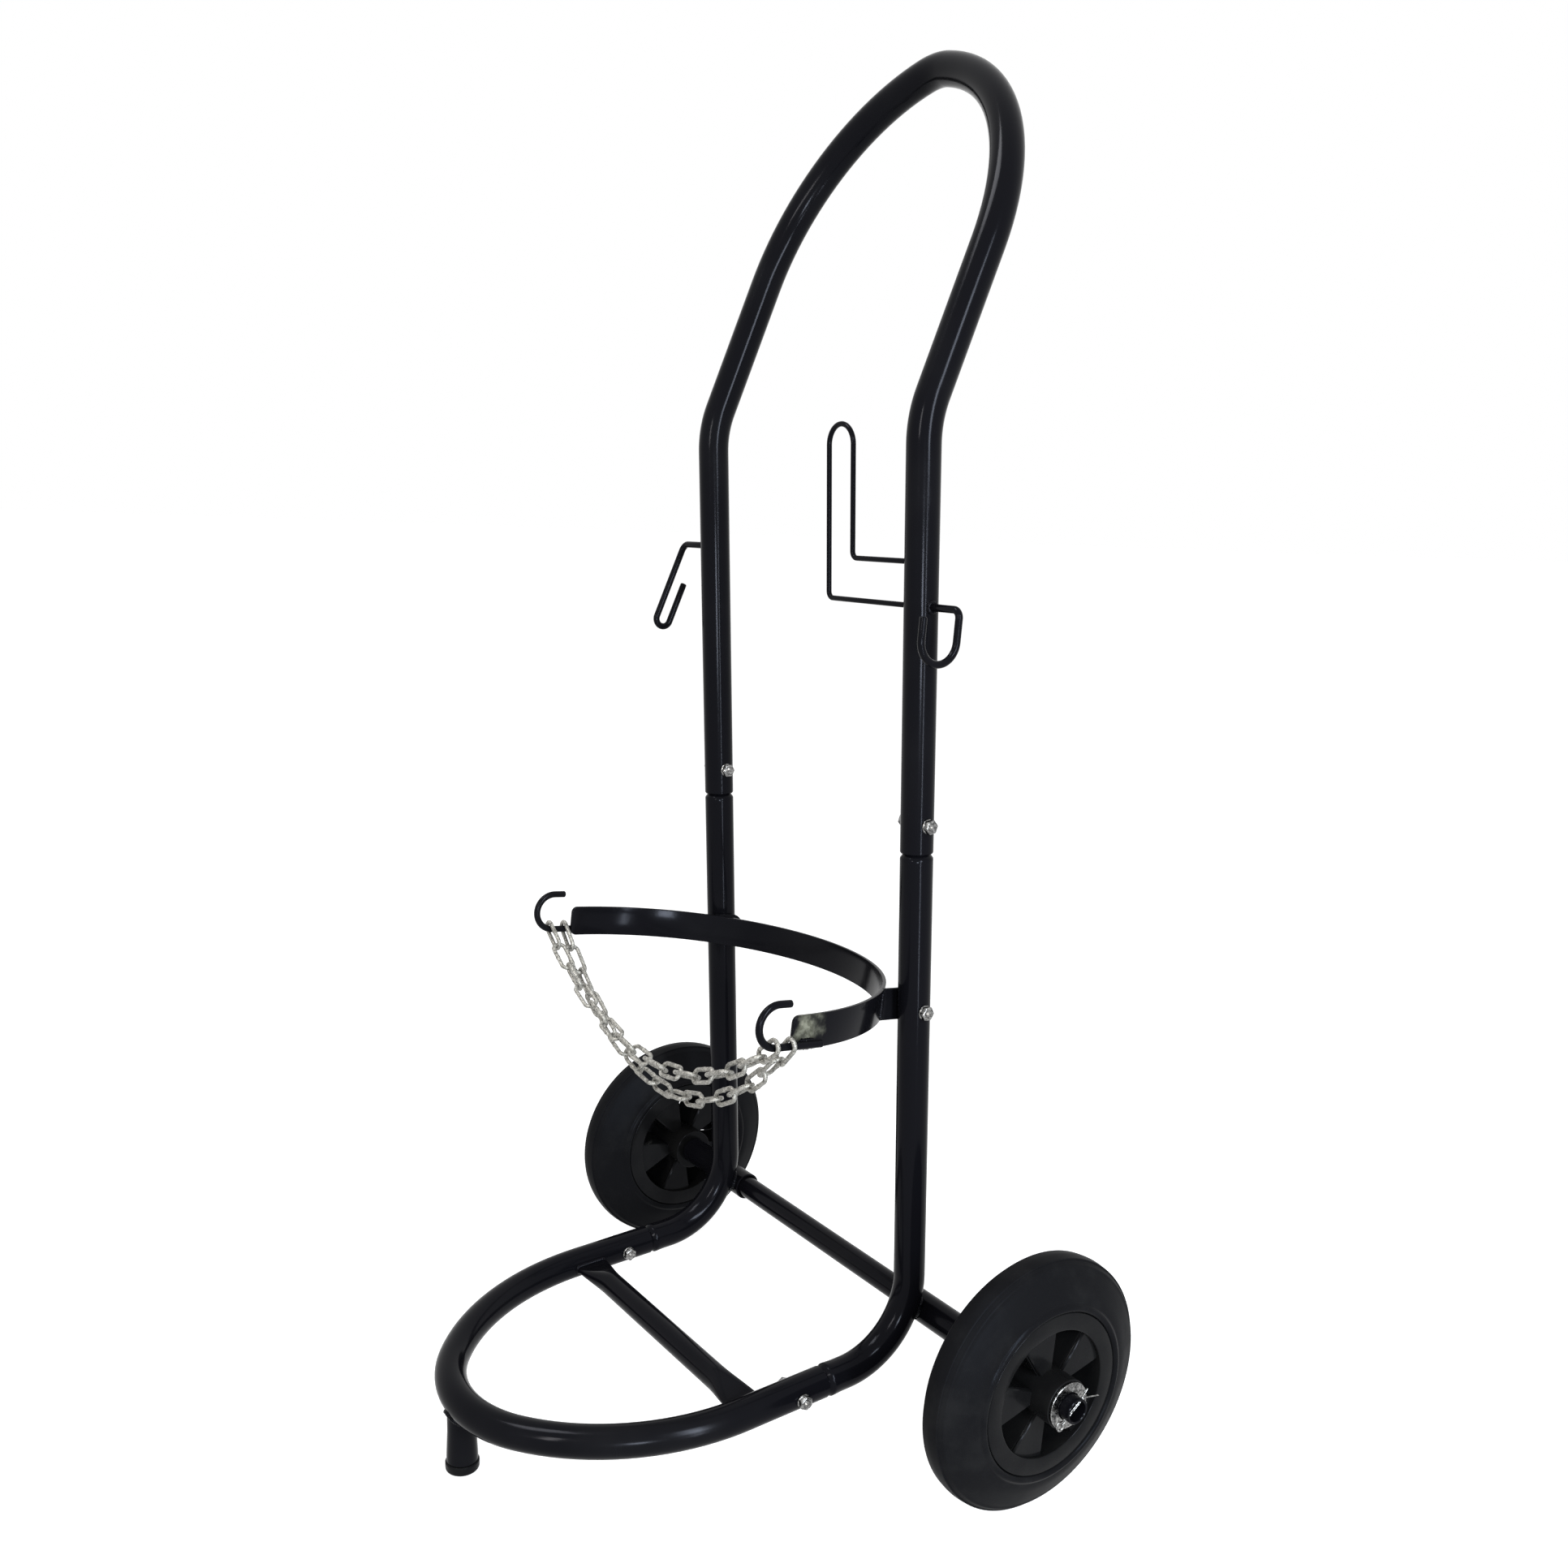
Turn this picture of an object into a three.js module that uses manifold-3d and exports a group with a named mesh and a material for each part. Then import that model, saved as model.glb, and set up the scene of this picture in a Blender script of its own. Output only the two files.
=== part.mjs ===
// Gas cylinder trolley: a bent tube frame in three plug-together sections, two wheels on a plain
// axle, a half-ring band with hooks and a chain for the cylinder, two hose hooks and a torch holder.
// Millimetres, +Z up. The origin is on the floor, midway between the wheels and midway from front
// to back. -Y is the front, where the cylinder stands; left is -X.
import * as THREE from 'three';
import { mergeVertices } from 'three/addons/utils/BufferGeometryUtils.js';
import Module from 'manifold-3d';

const wasm = await Module();
wasm.setup();

// Driving dimensions of the frame
const tubeDiameter = 25;
const tubeWall = 1.5;
const postSpacing = 275;
const frameLean = 2.5; // degrees that the posts lean towards the foot
const axleAboveRail = 28.3;
const baseBendRadius = 65;
const upperJointHeight = 380; // above the axle, along the posts
const handleKinkHeight = 693; // above the axle, along the posts
const handleKinkAngle = 25; // degrees that the handle slants back from the posts
const handleKinkRadius = 80;
const handleStraight = 129; // from the kink to the start of the arch
const handleSideRadius = 164;
const handleCrownRadius = 55;
const baseJointReach = 83.5; // in front of the posts
const baseStraightReach = 158; // in front of the posts, where the loop starts to curve
const loopSideRadius = 183;
const loopNoseRadius = 105;

// Where tubes plug together: a swaged neck on the side tube enters the hoop or the loop
const neckLength = 45;
const neckShoulder = 3.5;
const neckRoot = 10;
const jointBoltSetback = 22; // from the shoulder to the bolt
const baseBoltSetback = 26;

// Wheels and axle
const wheelDiameter = 200;
const wheelWidth = 48;
const wheelTrack = 522.6;
const tyreBore = 128;
const hubFaceWidth = 45;
const hubRecessDiameter = 100;
const hubWebWidth = 38;
const hubBossDiameter = 38;
const hubBossWidth = 74;
const hubPocketCount = 5; // on each side, set between those of the other side
const hubPocketAngle = 35; // degrees
const hubPocketTurns = { left: 63, right: 23 }; // degrees from straight down to an outer pocket's middle
const hubPocketInset = 2.5;
const hubPocketFloor = 3;
const axleDiameter = 20;
const axleWall = 2;
const axleOverhang = 9; // beyond the washers
const sleeveDiameter = 25;
const sleeveInboard = 12.5; // from the post's centre towards the middle
const washerDiameter = 36;
const washerThickness = 2;
const pinDiameter = 3.2;
const pinEyeRadius = 3;
const pinTail = 3; // straight part outside the axle, on each side
const pinTurn = 34; // degrees that the pin is turned up from the rails
const pinLongLeg = 15;
const pinLongSplay = -38; // degrees from the pin
const pinShortLeg = 7;
const pinShortSplay = 12;
const pinWireShare = 0.42;

// Cross bar of the base and the foot
const crossBarDiameter = 20;
const crossBarWall = 1.5;
const crossBarFlatThickness = 4;
const crossBarPressLength = 42;
const crossBarReach = 151; // in front of the posts
const footTopDiameter = 22;
const footBottomDiameter = 24;
const footWall = 1.5;
const footCapDiameter = 26;
const footCapHeight = 8;
const footCapRound = 3;
const footPlugDepth = 14;

// Band around the cylinder, with its brackets and chain hooks
const bandHeight = 25;
const bandThickness = 3;
const bandRadius = 168; // to the middle of the flat bar
const bandReach = 136; // from the posts to the middle of the ring
const bandRise = 8; // degrees that the ring is tipped up at the front
const bandBoltHeight = 261.3; // above the axle
const bandEndStraight = 0.5;
const bandCornerRadius = 5;
const bracketTail = 12.5; // behind the bolt
const hookRodDiameter = 5.5;
const hookRadius = 15.5;
const hookEdgeOffset = 4.5; // rod's centre above the band's lower edge
const hookWeldLength = 24; // alongside the band
const hookGap = 15.5; // from the band's end to the start of the curve
const hookTip = 9.5;

// Securing chain, hung double between the hooks
const linkWire = 3.4;
const linkInnerWidth = 6.6;
const linkPitch = 24.1;
const linkBite = 0.6; // how far touching links are sunk into each other
const frontStrandLinks = 16;
const rearStrandLinks = 17;
const strandSpacing = 13;
const strandSetback = 3.4; // rear strand's centre, in front of the band's end

// Hooks for the hose and the torch holder
const hoseRodDiameter = 5.5;
const hoseBend = 6;
const leftHookStub = 38; // from the post's side to the leg
const leftHookHeight = 598;
const leftHookTilt = 26; // degrees
const leftHookLeg = 67.5;
const leftHookWidth = 13.6;
const leftHookReturn = 36;
const rightHookStub = 29;
const rightHookHeight = 564;
const rightHookTilt = 6;
const rightHookLeg = 22;
const rightHookWidth = 32;
const rightHookReturn = 16;
const weldCollarDiameter = 9;
const weldCollarLength = 4;
const holderWire = 4;
const holderBend = 5;
const holderLowHeight = 564; // above the axle
const holderHighHeight = 595;
const holderTopHeight = 692;
const holderInnerReach = 68; // from the post's inner side
const holderGap = 29.8; // between the two uprights

// M6 bolts and flange nuts
const boltDiameter = 6;
const boltHeadDiameter = 11;
const boltHeadHeight = 4;
const boltTail = 2; // beyond the nut
const nutAcrossFlats = 10;
const nutHeight = 5;
const flangeDiameter = 11.4;
const flangeHeight = 1;

// Clearances and fineness of the mesh
const fit = 0.3; // between neighbours that touch
const overrun = 2; // of a cutter past what it cuts
const mergeDistance = 1e-4;
const tubeSides = 12;
const rodSides = 6;
const wheelSides = 32;
const linkSides = 4;
const linkBowSteps = 8;
const bendStep = 12; // degrees of a bend to one step

// Sizes that follow
const radians = THREE.MathUtils.degToRad;
const tubeRadius = tubeDiameter / 2;
const sleeveRadius = sleeveDiameter / 2;
const axleRadius = axleDiameter / 2;
const wheelRadius = wheelDiameter / 2;
const postX = postSpacing / 2;
const postFace = postX - tubeRadius;
const railZ = -axleAboveRail;
// the sleeves touch the tubes on the outside of the base bend
const bendToAxle = baseBendRadius + (tubeRadius + sleeveRadius) * Math.cos(Math.PI / tubeSides) + fit;
const postY = baseBendRadius - Math.sqrt(bendToAxle ** 2 - (baseBendRadius - axleAboveRail) ** 2);
const boreRadius = (tubeRadius - tubeWall) * Math.cos(Math.PI / tubeSides);
const neckRadius = (boreRadius - fit) * Math.cos(Math.PI / tubeSides);

const X = new THREE.Vector3(1, 0, 0);
const Y = new THREE.Vector3(0, 1, 0);
const Z = new THREE.Vector3(0, 0, 1);
const at = (x, y, z) => new THREE.Vector3(x, y, z);

// Materials
const finish = (name, color, roughness, metalness) =>
  new THREE.MeshStandardMaterial({ name, color, roughness, metalness });
const blackCoat = () => finish('black_powder_coat', 0x0b0b0d, 0.22, 0);
const rubber = () => finish('black_rubber', 0x1b1b1e, 0.7, 0);
const plastic = () => finish('black_plastic', 0x17171a, 0.5, 0);
const zinc = () => finish('zinc_plate', 0xb9bab6, 0.35, 0.9);

// Solids: closed three.js geometries that can be joined and cut

/** Turns a closed three.js geometry into a solid whose faces point out. */
function solid(geometry) {
  const bare = geometry.index ? geometry.toNonIndexed() : geometry.clone();
  bare.deleteAttribute('normal');
  bare.deleteAttribute('uv');
  const merged = mergeVertices(bare, mergeDistance);
  const vertProperties = new Float32Array(merged.attributes.position.array);
  const corners = merged.index.array;
  const make = (flip) => {
    const triVerts = [];
    for (let i = 0; i < corners.length; i += 3) {
      const [a, b, c] = [corners[i], corners[i + 1], corners[i + 2]];
      if (a !== b && b !== c && c !== a) triVerts.push(a, flip ? c : b, flip ? b : c);
    }
    const mesh = new wasm.Mesh({ numProp: 3, vertProperties, triVerts: new Uint32Array(triVerts) });
    return new wasm.Manifold(mesh);
  };
  const body = make(false);
  return body.volume() < 0 ? make(true) : body;
}

/** Gives a solid's surface back as a three.js geometry. */
function surface(body) {
  const { vertProperties, triVerts } = body.getMesh();
  const geometry = new THREE.BufferGeometry();
  geometry.setAttribute('position', new THREE.BufferAttribute(new Float32Array(vertProperties), 3));
  geometry.setIndex(new THREE.BufferAttribute(new Uint32Array(triVerts), 1));
  geometry.computeVertexNormals();
  return geometry;
}

/** Adds a named piece to a group. */
function piece(parent, name, body, material) {
  const mesh = new THREE.Mesh(surface(body), material);
  mesh.name = name;
  parent.add(mesh);
  return mesh;
}

/** The corners of a round section of a given radius. */
function round(radius, sides) {
  return Array.from({ length: sides }, (_, i) => {
    const turn = (i + 0.5) * 2 * Math.PI / sides;
    return new THREE.Vector2(radius * Math.cos(turn), radius * Math.sin(turn));
  });
}

/** The centre line of a bent tube or rod, drawn leg by leg from a start and a heading. */
class BentLine extends THREE.Curve {
  constructor(start, heading) {
    super();
    this.end = start.clone();
    this.heading = heading.clone().normalize();
    this.legs = [];
    this.steps = 0;
  }

  addLeg(steps, place) {
    this.legs.push({ first: this.steps, steps, place });
    this.steps += steps;
    this.end = place(1);
    return this;
  }

  /** Goes straight on. */
  run(length) {
    const [start, heading] = [this.end.clone(), this.heading.clone()];
    return this.addLeg(1, (share) => start.clone().addScaledVector(heading, length * share));
  }

  /** Bends on a circle, turning by the right-hand rule about an axis square to the heading. */
  bend(radius, degrees, axis) {
    const toCentre = new THREE.Vector3().crossVectors(axis, this.heading).multiplyScalar(radius);
    const centre = this.end.clone().add(toCentre);
    const arm = toCentre.negate();
    const angle = radians(degrees);
    const steps = Math.ceil(degrees / bendStep);
    this.heading.applyAxisAngle(axis, angle);
    return this.addLeg(steps, (share) => arm.clone().applyAxisAngle(axis, angle * share).add(centre));
  }

  /** Keeps every step of an extrusion on a leg's own steps. */
  getUtoTmapping(share) {
    return share;
  }

  getPoint(share, target = new THREE.Vector3()) {
    const place = share * this.steps;
    const leg = this.legs.findLast(({ first }) => first <= place) ?? this.legs[0];
    return target.copy(leg.place((place - leg.first) / leg.steps));
  }
}

/** A tube along a line, or a rod where there is no wall. */
function tubeShape(line, radius, wall, sides) {
  const section = new THREE.Shape(round(radius, sides));
  if (wall) section.holes.push(new THREE.Path(round(radius - wall, sides)));
  return new THREE.ExtrudeGeometry(section, { steps: line.steps, extrudePath: line });
}
const tube = (line, radius, wall) => solid(tubeShape(line, radius, wall, tubeSides));
const rod = (line, radius) => solid(tubeShape(line, radius, 0, rodSides));

/** A rod or tube straight along X between two places. */
function alongX(fromX, toX, y, z, radius, wall = 0, sides = tubeSides) {
  return solid(tubeShape(new BentLine(at(fromX, y, z), X).run(toX - fromX), radius, wall, sides));
}

/**
 * A turned body. The profile is a list of [radius, height] that closes on itself or runs from axis
 * to axis; the flats of the many-sided body lie on the stated radii.
 */
function turned(profile, sides) {
  const grow = 1 / Math.cos(Math.PI / sides);
  const points = profile.map(([radius, height]) => new THREE.Vector2(radius * grow, height));
  return new THREE.LatheGeometry(points, sides).rotateY(Math.PI / sides);
}
const ringProfile = (inner, outer, low, high) =>
  [[inner, low], [outer, low], [outer, high], [inner, high], [inner, low]];

/** Stands a turned body up along +Z, or lays it along +X. */
const upright = (geometry) => geometry.rotateX(Math.PI / 2);
const sideways = (geometry) => geometry.rotateZ(-Math.PI / 2);

/** A closed skin over rings of points that run from end to end, outside and inside. */
function loft(outerRings, innerRings) {
  const count = outerRings[0].length;
  const positions = [];
  const quad = (a, b, c, d) => [a, b, c, a, c, d].forEach((p) => positions.push(p.x, p.y, p.z));
  const skin = (rings) => {
    for (let i = 0; i + 1 < rings.length; i++) {
      for (let j = 0; j < count; j++) {
        const k = (j + 1) % count;
        quad(rings[i][j], rings[i + 1][j], rings[i + 1][k], rings[i][k]);
      }
    }
  };
  const cap = (outer, inner) => {
    for (let j = 0; j < count; j++) {
      const k = (j + 1) % count;
      quad(outer[j], outer[k], inner[k], inner[j]);
    }
  };
  skin(outerRings);
  skin(innerRings.map((ring) => ring.slice().reverse()));
  cap(outerRings[0], innerRings[0]);
  cap(outerRings.at(-1).slice().reverse(), innerRings.at(-1).slice().reverse());
  const geometry = new THREE.BufferGeometry();
  geometry.setAttribute('position', new THREE.Float32BufferAttribute(positions, 3));
  return solid(geometry);
}

const trolley = new THREE.Group();

// The leaning frame hangs on the axle's centre, with +Z up the posts and -Y along the rails

const lean = radians(frameLean);
const intoWorld = (point) => point.applyAxisAngle(X, lean);
const archTurn = (half, side, nose) => THREE.MathUtils.radToDeg(Math.acos((side - half) / (side - nose)));
const archHeight = (half, side, nose) => (side - nose) * Math.sin(radians(archTurn(half, side, nose))) + nose;
const loopFrontY = postY - baseStraightReach - archHeight(postX, loopSideRadius, loopNoseRadius);
const frontReach = footCapDiameter / 2 - intoWorld(at(0, loopFrontY, railZ)).y;
const axlePlace = at(0, (frontReach - wheelRadius) / 2, wheelRadius);

const frame = new THREE.Group();
frame.position.copy(axlePlace);
frame.rotation.x = lean;
trolley.add(frame);

// Bolts and nuts; every nut is on the +X side

/** A hole through what lies between two X places. */
const boltHole = (fromX, toX, y, z) => alongX(fromX, toX, y, z, boltDiameter / 2 + fit, 0, rodSides);

/** A bolt along X with its flange nut, clamping what lies between two X places. */
function boltAndNut(parent, name, fromX, toX, y, z) {
  const headX = fromX - fit;
  const nutX = toX + fit;
  const head = alongX(headX - boltHeadHeight, headX, y, z, boltHeadDiameter / 2, 0, rodSides);
  const tailX = nutX + nutHeight + boltTail;
  const shank = alongX(headX - boltHeadHeight / 2, tailX, y, z, boltDiameter / 2, 0, rodSides);
  piece(parent, `${name}_bolt`, head.add(shank), zinc());
  const flange = alongX(nutX, nutX + flangeHeight, y, z, flangeDiameter / 2, 0, rodSides * 2);
  const hexRadius = nutAcrossFlats / 2 / Math.cos(Math.PI / 6);
  const hex = alongX(nutX + flangeHeight / 2, nutX + nutHeight, y, z, hexRadius, 0, 6);
  const bore = boltHole(nutX - overrun, nutX + nutHeight + overrun, y, z);
  piece(parent, `${name}_nut`, flange.add(hex).subtract(bore), zinc());
}

// Side tubes: post, base bend and rail, with a swaged neck at each end

/** A swaged neck that stands on a tube's end at height zero and points along +Y. */
function neckShape() {
  const rootRadius = tubeRadius - tubeWall / 2;
  const innerRadius = neckRadius - tubeWall;
  return turned([
    [innerRadius, -neckRoot], [rootRadius, -neckRoot], [rootRadius, 0], [neckRadius, neckShoulder],
    [neckRadius, neckLength], [innerRadius, neckLength], [innerRadius, -neckRoot],
  ], tubeSides);
}

const baseJointY = postY - baseJointReach;
const jointBoltZ = upperJointHeight + neckShoulder + jointBoltSetback;
const baseBoltY = baseJointY - neckShoulder - baseBoltSetback;
const sides = [{ side: 'left', x: -postX }, { side: 'right', x: postX }];

for (const { side, x } of sides) {
  const line = new BentLine(at(x, postY, upperJointHeight), Z.clone().negate())
    .run(upperJointHeight - railZ - baseBendRadius)
    .bend(baseBendRadius, 90, X.clone().negate())
    .run(baseJointReach - baseBendRadius);
  const upperNeck = solid(upright(neckShape()).translate(x, postY, upperJointHeight));
  const baseNeck = solid(neckShape().rotateX(Math.PI).translate(x, baseJointY, railZ));
  const across = [x - tubeRadius - overrun, x + tubeRadius + overrun];
  const body = tube(line, tubeRadius, tubeWall).add(upperNeck).add(baseNeck)
    .subtract(boltHole(...across, postY, jointBoltZ))
    .subtract(boltHole(...across, baseBoltY, railZ))
    .subtract(boltHole(...across, postY, bandBoltHeight));
  piece(frame, `${side}_side_tube`, body, blackCoat());
}

// Handle hoop

const slant = at(0, Math.sin(radians(handleKinkAngle)), Math.cos(radians(handleKinkAngle)));
const kinkTangent = handleKinkRadius * Math.tan(radians(handleKinkAngle / 2));
const hoopMouthZ = upperJointHeight + neckShoulder;
const handleTurn = archTurn(postX, handleSideRadius, handleCrownRadius);
const archAxis = new THREE.Vector3().crossVectors(slant, X);
const hoopLine = new BentLine(at(-postX, postY, hoopMouthZ), Z)
  .run(handleKinkHeight - kinkTangent - hoopMouthZ)
  .bend(handleKinkRadius, handleKinkAngle, X.clone().negate())
  .run(handleStraight - kinkTangent)
  .bend(handleSideRadius, handleTurn, archAxis)
  .bend(handleCrownRadius, 180 - 2 * handleTurn, archAxis)
  .bend(handleSideRadius, handleTurn, archAxis)
  .run(handleStraight - kinkTangent)
  .bend(handleKinkRadius, handleKinkAngle, X)
  .run(handleKinkHeight - kinkTangent - hoopMouthZ);
let hoop = tube(hoopLine, tubeRadius, tubeWall);
for (const { x } of sides) {
  hoop = hoop.subtract(boltHole(x - tubeRadius - overrun, x + tubeRadius + overrun, postY, jointBoltZ));
}
piece(frame, 'handle_hoop', hoop, blackCoat());

// Base loop

const loopMouthY = baseJointY - neckShoulder;
const loopRun = baseStraightReach - baseJointReach - neckShoulder;
const loopTurn = archTurn(postX, loopSideRadius, loopNoseRadius);
const loopLine = new BentLine(at(-postX, loopMouthY, railZ), Y.clone().negate())
  .run(loopRun)
  .bend(loopSideRadius, loopTurn, Z)
  .bend(loopNoseRadius, 180 - 2 * loopTurn, Z)
  .bend(loopSideRadius, loopTurn, Z)
  .run(loopRun);
let loop = tube(loopLine, tubeRadius, tubeWall);
for (const { x } of sides) {
  loop = loop.subtract(boltHole(x - tubeRadius - overrun, x + tubeRadius + overrun, baseBoltY, railZ));
}
piece(frame, 'base_loop', loop, blackCoat());

for (const { side, x } of sides) {
  boltAndNut(frame, `${side}_upper_joint`, x - tubeRadius, x + tubeRadius, postY, jointBoltZ);
  boltAndNut(frame, `${side}_base_joint`, x - tubeRadius, x + tubeRadius, baseBoltY, railZ);
}

// Cross bar: a round tube whose ends are pressed flat, with the girth unchanged

/** A ring of points around the bar at x, for a section of a given half height, drawn in by a wall. */
function pressedRing(x, halfHeight, wall) {
  const halfWidth = halfHeight + (Math.PI / 2) * (crossBarDiameter / 2 - halfHeight);
  const edge = halfHeight - wall;
  return round(edge, tubeSides).map(({ x: along, y: up }) =>
    at(x, postY - crossBarReach + along + Math.sign(along) * (halfWidth - halfHeight), railZ + up));
}

const barHalf = postFace - fit;
const barStations = [0, 0.25, 0.5, 0.75, 1].map((share) => [
  barHalf - crossBarPressLength * share,
  crossBarFlatThickness / 2 + (crossBarDiameter - crossBarFlatThickness) / 2 * THREE.MathUtils.smoothstep(share, 0, 1),
]);
const barRings = [
  ...barStations.map(([x, halfHeight]) => [-x, halfHeight]),
  ...barStations.toReversed(),
];
const crossBar = loft(
  barRings.map(([x, halfHeight]) => pressedRing(x, halfHeight, 0)),
  barRings.map(([x, halfHeight]) => pressedRing(x, halfHeight, crossBarWall)),
);
piece(frame, 'base_cross_bar', crossBar, blackCoat());

// Foot: a slightly flared tube under the nose of the loop, standing plumb, with a plug cap

const nose = intoWorld(at(0, loopFrontY, railZ)).add(axlePlace);
const footShape = turned([
  [footBottomDiameter / 2 - footWall, footCapHeight + fit], [footBottomDiameter / 2, footCapHeight + fit],
  [footTopDiameter / 2, nose.z], [footTopDiameter / 2 - footWall, nose.z],
  [footBottomDiameter / 2 - footWall, footCapHeight + fit],
], tubeSides);
const loopCutter = tubeShape(loopLine, tubeRadius + fit, 0, tubeSides)
  .applyMatrix4(new THREE.Matrix4().makeRotationX(lean)).translate(axlePlace.x, axlePlace.y, axlePlace.z);
const foot = solid(upright(footShape).translate(0, nose.y, 0)).subtract(solid(loopCutter));
piece(trolley, 'front_foot', foot, blackCoat());

const plugRadius = footTopDiameter / 2 - footWall - fit;
const capRadius = footCapDiameter / 2;
const capRound = [0, 30, 60, 90].map(radians).map((turn) => [
  capRadius - footCapRound * (1 - Math.sin(turn)), footCapRound * (1 - Math.cos(turn)),
]);
const capShape = turned([
  [0, 0], ...capRound, [capRadius, footCapHeight], [plugRadius, footCapHeight],
  [plugRadius, footPlugDepth], [0, footPlugDepth],
], tubeSides);
piece(trolley, 'foot_cap', solid(upright(capShape).translate(0, nose.y, 0)), plastic());

// Axle, sleeves, wheels, washers and split pins

const wheelX = wheelTrack / 2;
const bossEnd = wheelX + hubBossWidth / 2;
const washerEnd = bossEnd + fit + washerThickness;
const axleEnd = washerEnd + axleOverhang;
const pinX = washerEnd + axleOverhang / 2;
const pinHole = (x) => solid(tubeShape(
  new BentLine(at(x, -axleDiameter, 0), Y).run(axleDiameter * 2), pinDiameter / 2 + fit, 0, rodSides))
  .rotate([pinTurn, 0, 0]);
const axle = alongX(-axleEnd, axleEnd, 0, 0, axleRadius, axleWall)
  .subtract(pinHole(-pinX)).subtract(pinHole(pinX));
piece(frame, 'axle', axle, blackCoat());

const boredRadius = axleRadius + fit;
for (const { side, x } of sides) {
  const sign = Math.sign(x);
  const sleeve = solid(sideways(turned(ringProfile(
    boredRadius, sleeveRadius * Math.cos(Math.PI / tubeSides), postX - sleeveInboard, wheelX - hubBossWidth / 2 - fit), tubeSides))
    .rotateY(sign < 0 ? Math.PI : 0));
  piece(frame, `${side}_axle_sleeve`, sleeve, blackCoat());
}

/** The tyre's profile: its bore, bulging sides, tread ridges and crown, as [radius, width]. */
function tyreProfile() {
  const tread = wheelRadius;
  const half = wheelWidth / 2;
  const depthShares = [0, 0.11, 0.33, 0.61, 0.83, 0.93, 0.98, 1];
  const widthShares = [0.94, 1, 0.96, 0.75, 0.5, 0.37, 0.27, 0.15];
  const flank = depthShares.map((share, i) => [
    tyreBore / 2 + (tread - tyreBore / 2) * share, half * widthShares[i],
  ]);
  const mirrored = flank.toReversed().map(([radius, width]) => [radius, -width]);
  return [...flank, ...mirrored, flank[0]];
}

/** A wedge-shaped pocket between two webs of the hub, open to the +X side. */
function hubPocket(turn) {
  const inner = hubBossDiameter / 2 + hubPocketInset;
  const outer = hubRecessDiameter / 2 - hubPocketInset;
  const half = radians(hubPocketAngle / 2);
  const wedge = new THREE.Shape();
  wedge.absarc(0, 0, outer, turn - half, turn + half, false);
  wedge.absarc(0, 0, inner, turn + half, turn - half, true);
  const depth = hubWebWidth - hubPocketFloor + overrun;
  return new THREE.ExtrudeGeometry(wedge, { depth, bevelEnabled: false, curveSegments: 2 })
    .translate(0, 0, hubPocketFloor - hubWebWidth / 2).rotateY(Math.PI / 2);
}

function wheelHub(pocketTurn) {
  const first = radians(pocketTurn);
  const rim = tyreBore / 2 - fit;
  const [recess, boss] = [hubRecessDiameter / 2, hubBossDiameter / 2];
  const [face, web, bossHalf] = [hubFaceWidth / 2, hubWebWidth / 2, hubBossWidth / 2];
  let hub = solid(sideways(turned([
    [boredRadius, -bossHalf], [boss, -bossHalf], [boss, -web], [recess, -web], [recess, -face],
    [rim, -face], [rim, face], [recess, face], [recess, web], [boss, web],
    [boss, bossHalf], [boredRadius, bossHalf], [boredRadius, -bossHalf],
  ], wheelSides)));
  for (let i = 0; i < hubPocketCount; i++) {
    const turn = 2 * Math.PI * i / hubPocketCount;
    hub = hub.subtract(solid(hubPocket(turn + first)));
    hub = hub.subtract(solid(hubPocket(turn - first).rotateY(Math.PI)));
  }
  return hub;
}

/** A split pin: an eye in front of the axle and two splayed legs behind it. */
function splitPin() {
  const wire = pinDiameter * pinWireShare;
  const stemLine = new BentLine(at(0, -axleRadius - pinTail, 0), Y).run(axleDiameter + 2 * pinTail);
  const stem = rod(stemLine, pinDiameter / 2);
  const eye = solid(new THREE.TorusGeometry(pinEyeRadius, wire, rodSides, tubeSides)
    .rotateY(Math.PI / 2).translate(0, -axleRadius - pinTail - pinEyeRadius, 0));
  const leg = (length, splay) => {
    const heading = at(0, Math.cos(radians(splay)), Math.sin(radians(splay)));
    return rod(new BentLine(at(0, axleRadius + pinTail / 2, 0), heading).run(length), wire);
  };
  return stem.add(eye).add(leg(pinLongLeg, pinLongSplay)).add(leg(pinShortLeg, pinShortSplay))
    .rotate([pinTurn, 0, 0]);
}

for (const { side, x } of sides) {
  const sign = Math.sign(x);
  const centreX = sign * wheelX;
  const wheel = new THREE.Group();
  wheel.position.set(centreX, axlePlace.y, axlePlace.z);
  wheel.rotation.y = sign < 0 ? Math.PI : 0;
  trolley.add(wheel);
  piece(wheel, `${side}_tyre`, solid(sideways(turned(tyreProfile(), wheelSides))), rubber());
  piece(wheel, `${side}_wheel_hub`, wheelHub(hubPocketTurns[side]), plastic());
  const washer = solid(sideways(turned(ringProfile(
    boredRadius, washerDiameter / 2, bossEnd + fit, washerEnd), tubeSides)).rotateY(sign < 0 ? Math.PI : 0));
  piece(frame, `${side}_wheel_washer`, washer, zinc());
  piece(frame, `${side}_split_pin`, splitPin(), zinc()).position.x = sign * pinX;
}

// Band: its own group turns about the bracket bolts, with -Y forward and +Z across the flat bar

const band = new THREE.Group();
band.position.set(0, postY, bandBoltHeight);
band.rotation.x = -radians(bandRise);
frame.add(band);

const bandEndY = -bandReach - bandEndStraight;

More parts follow.
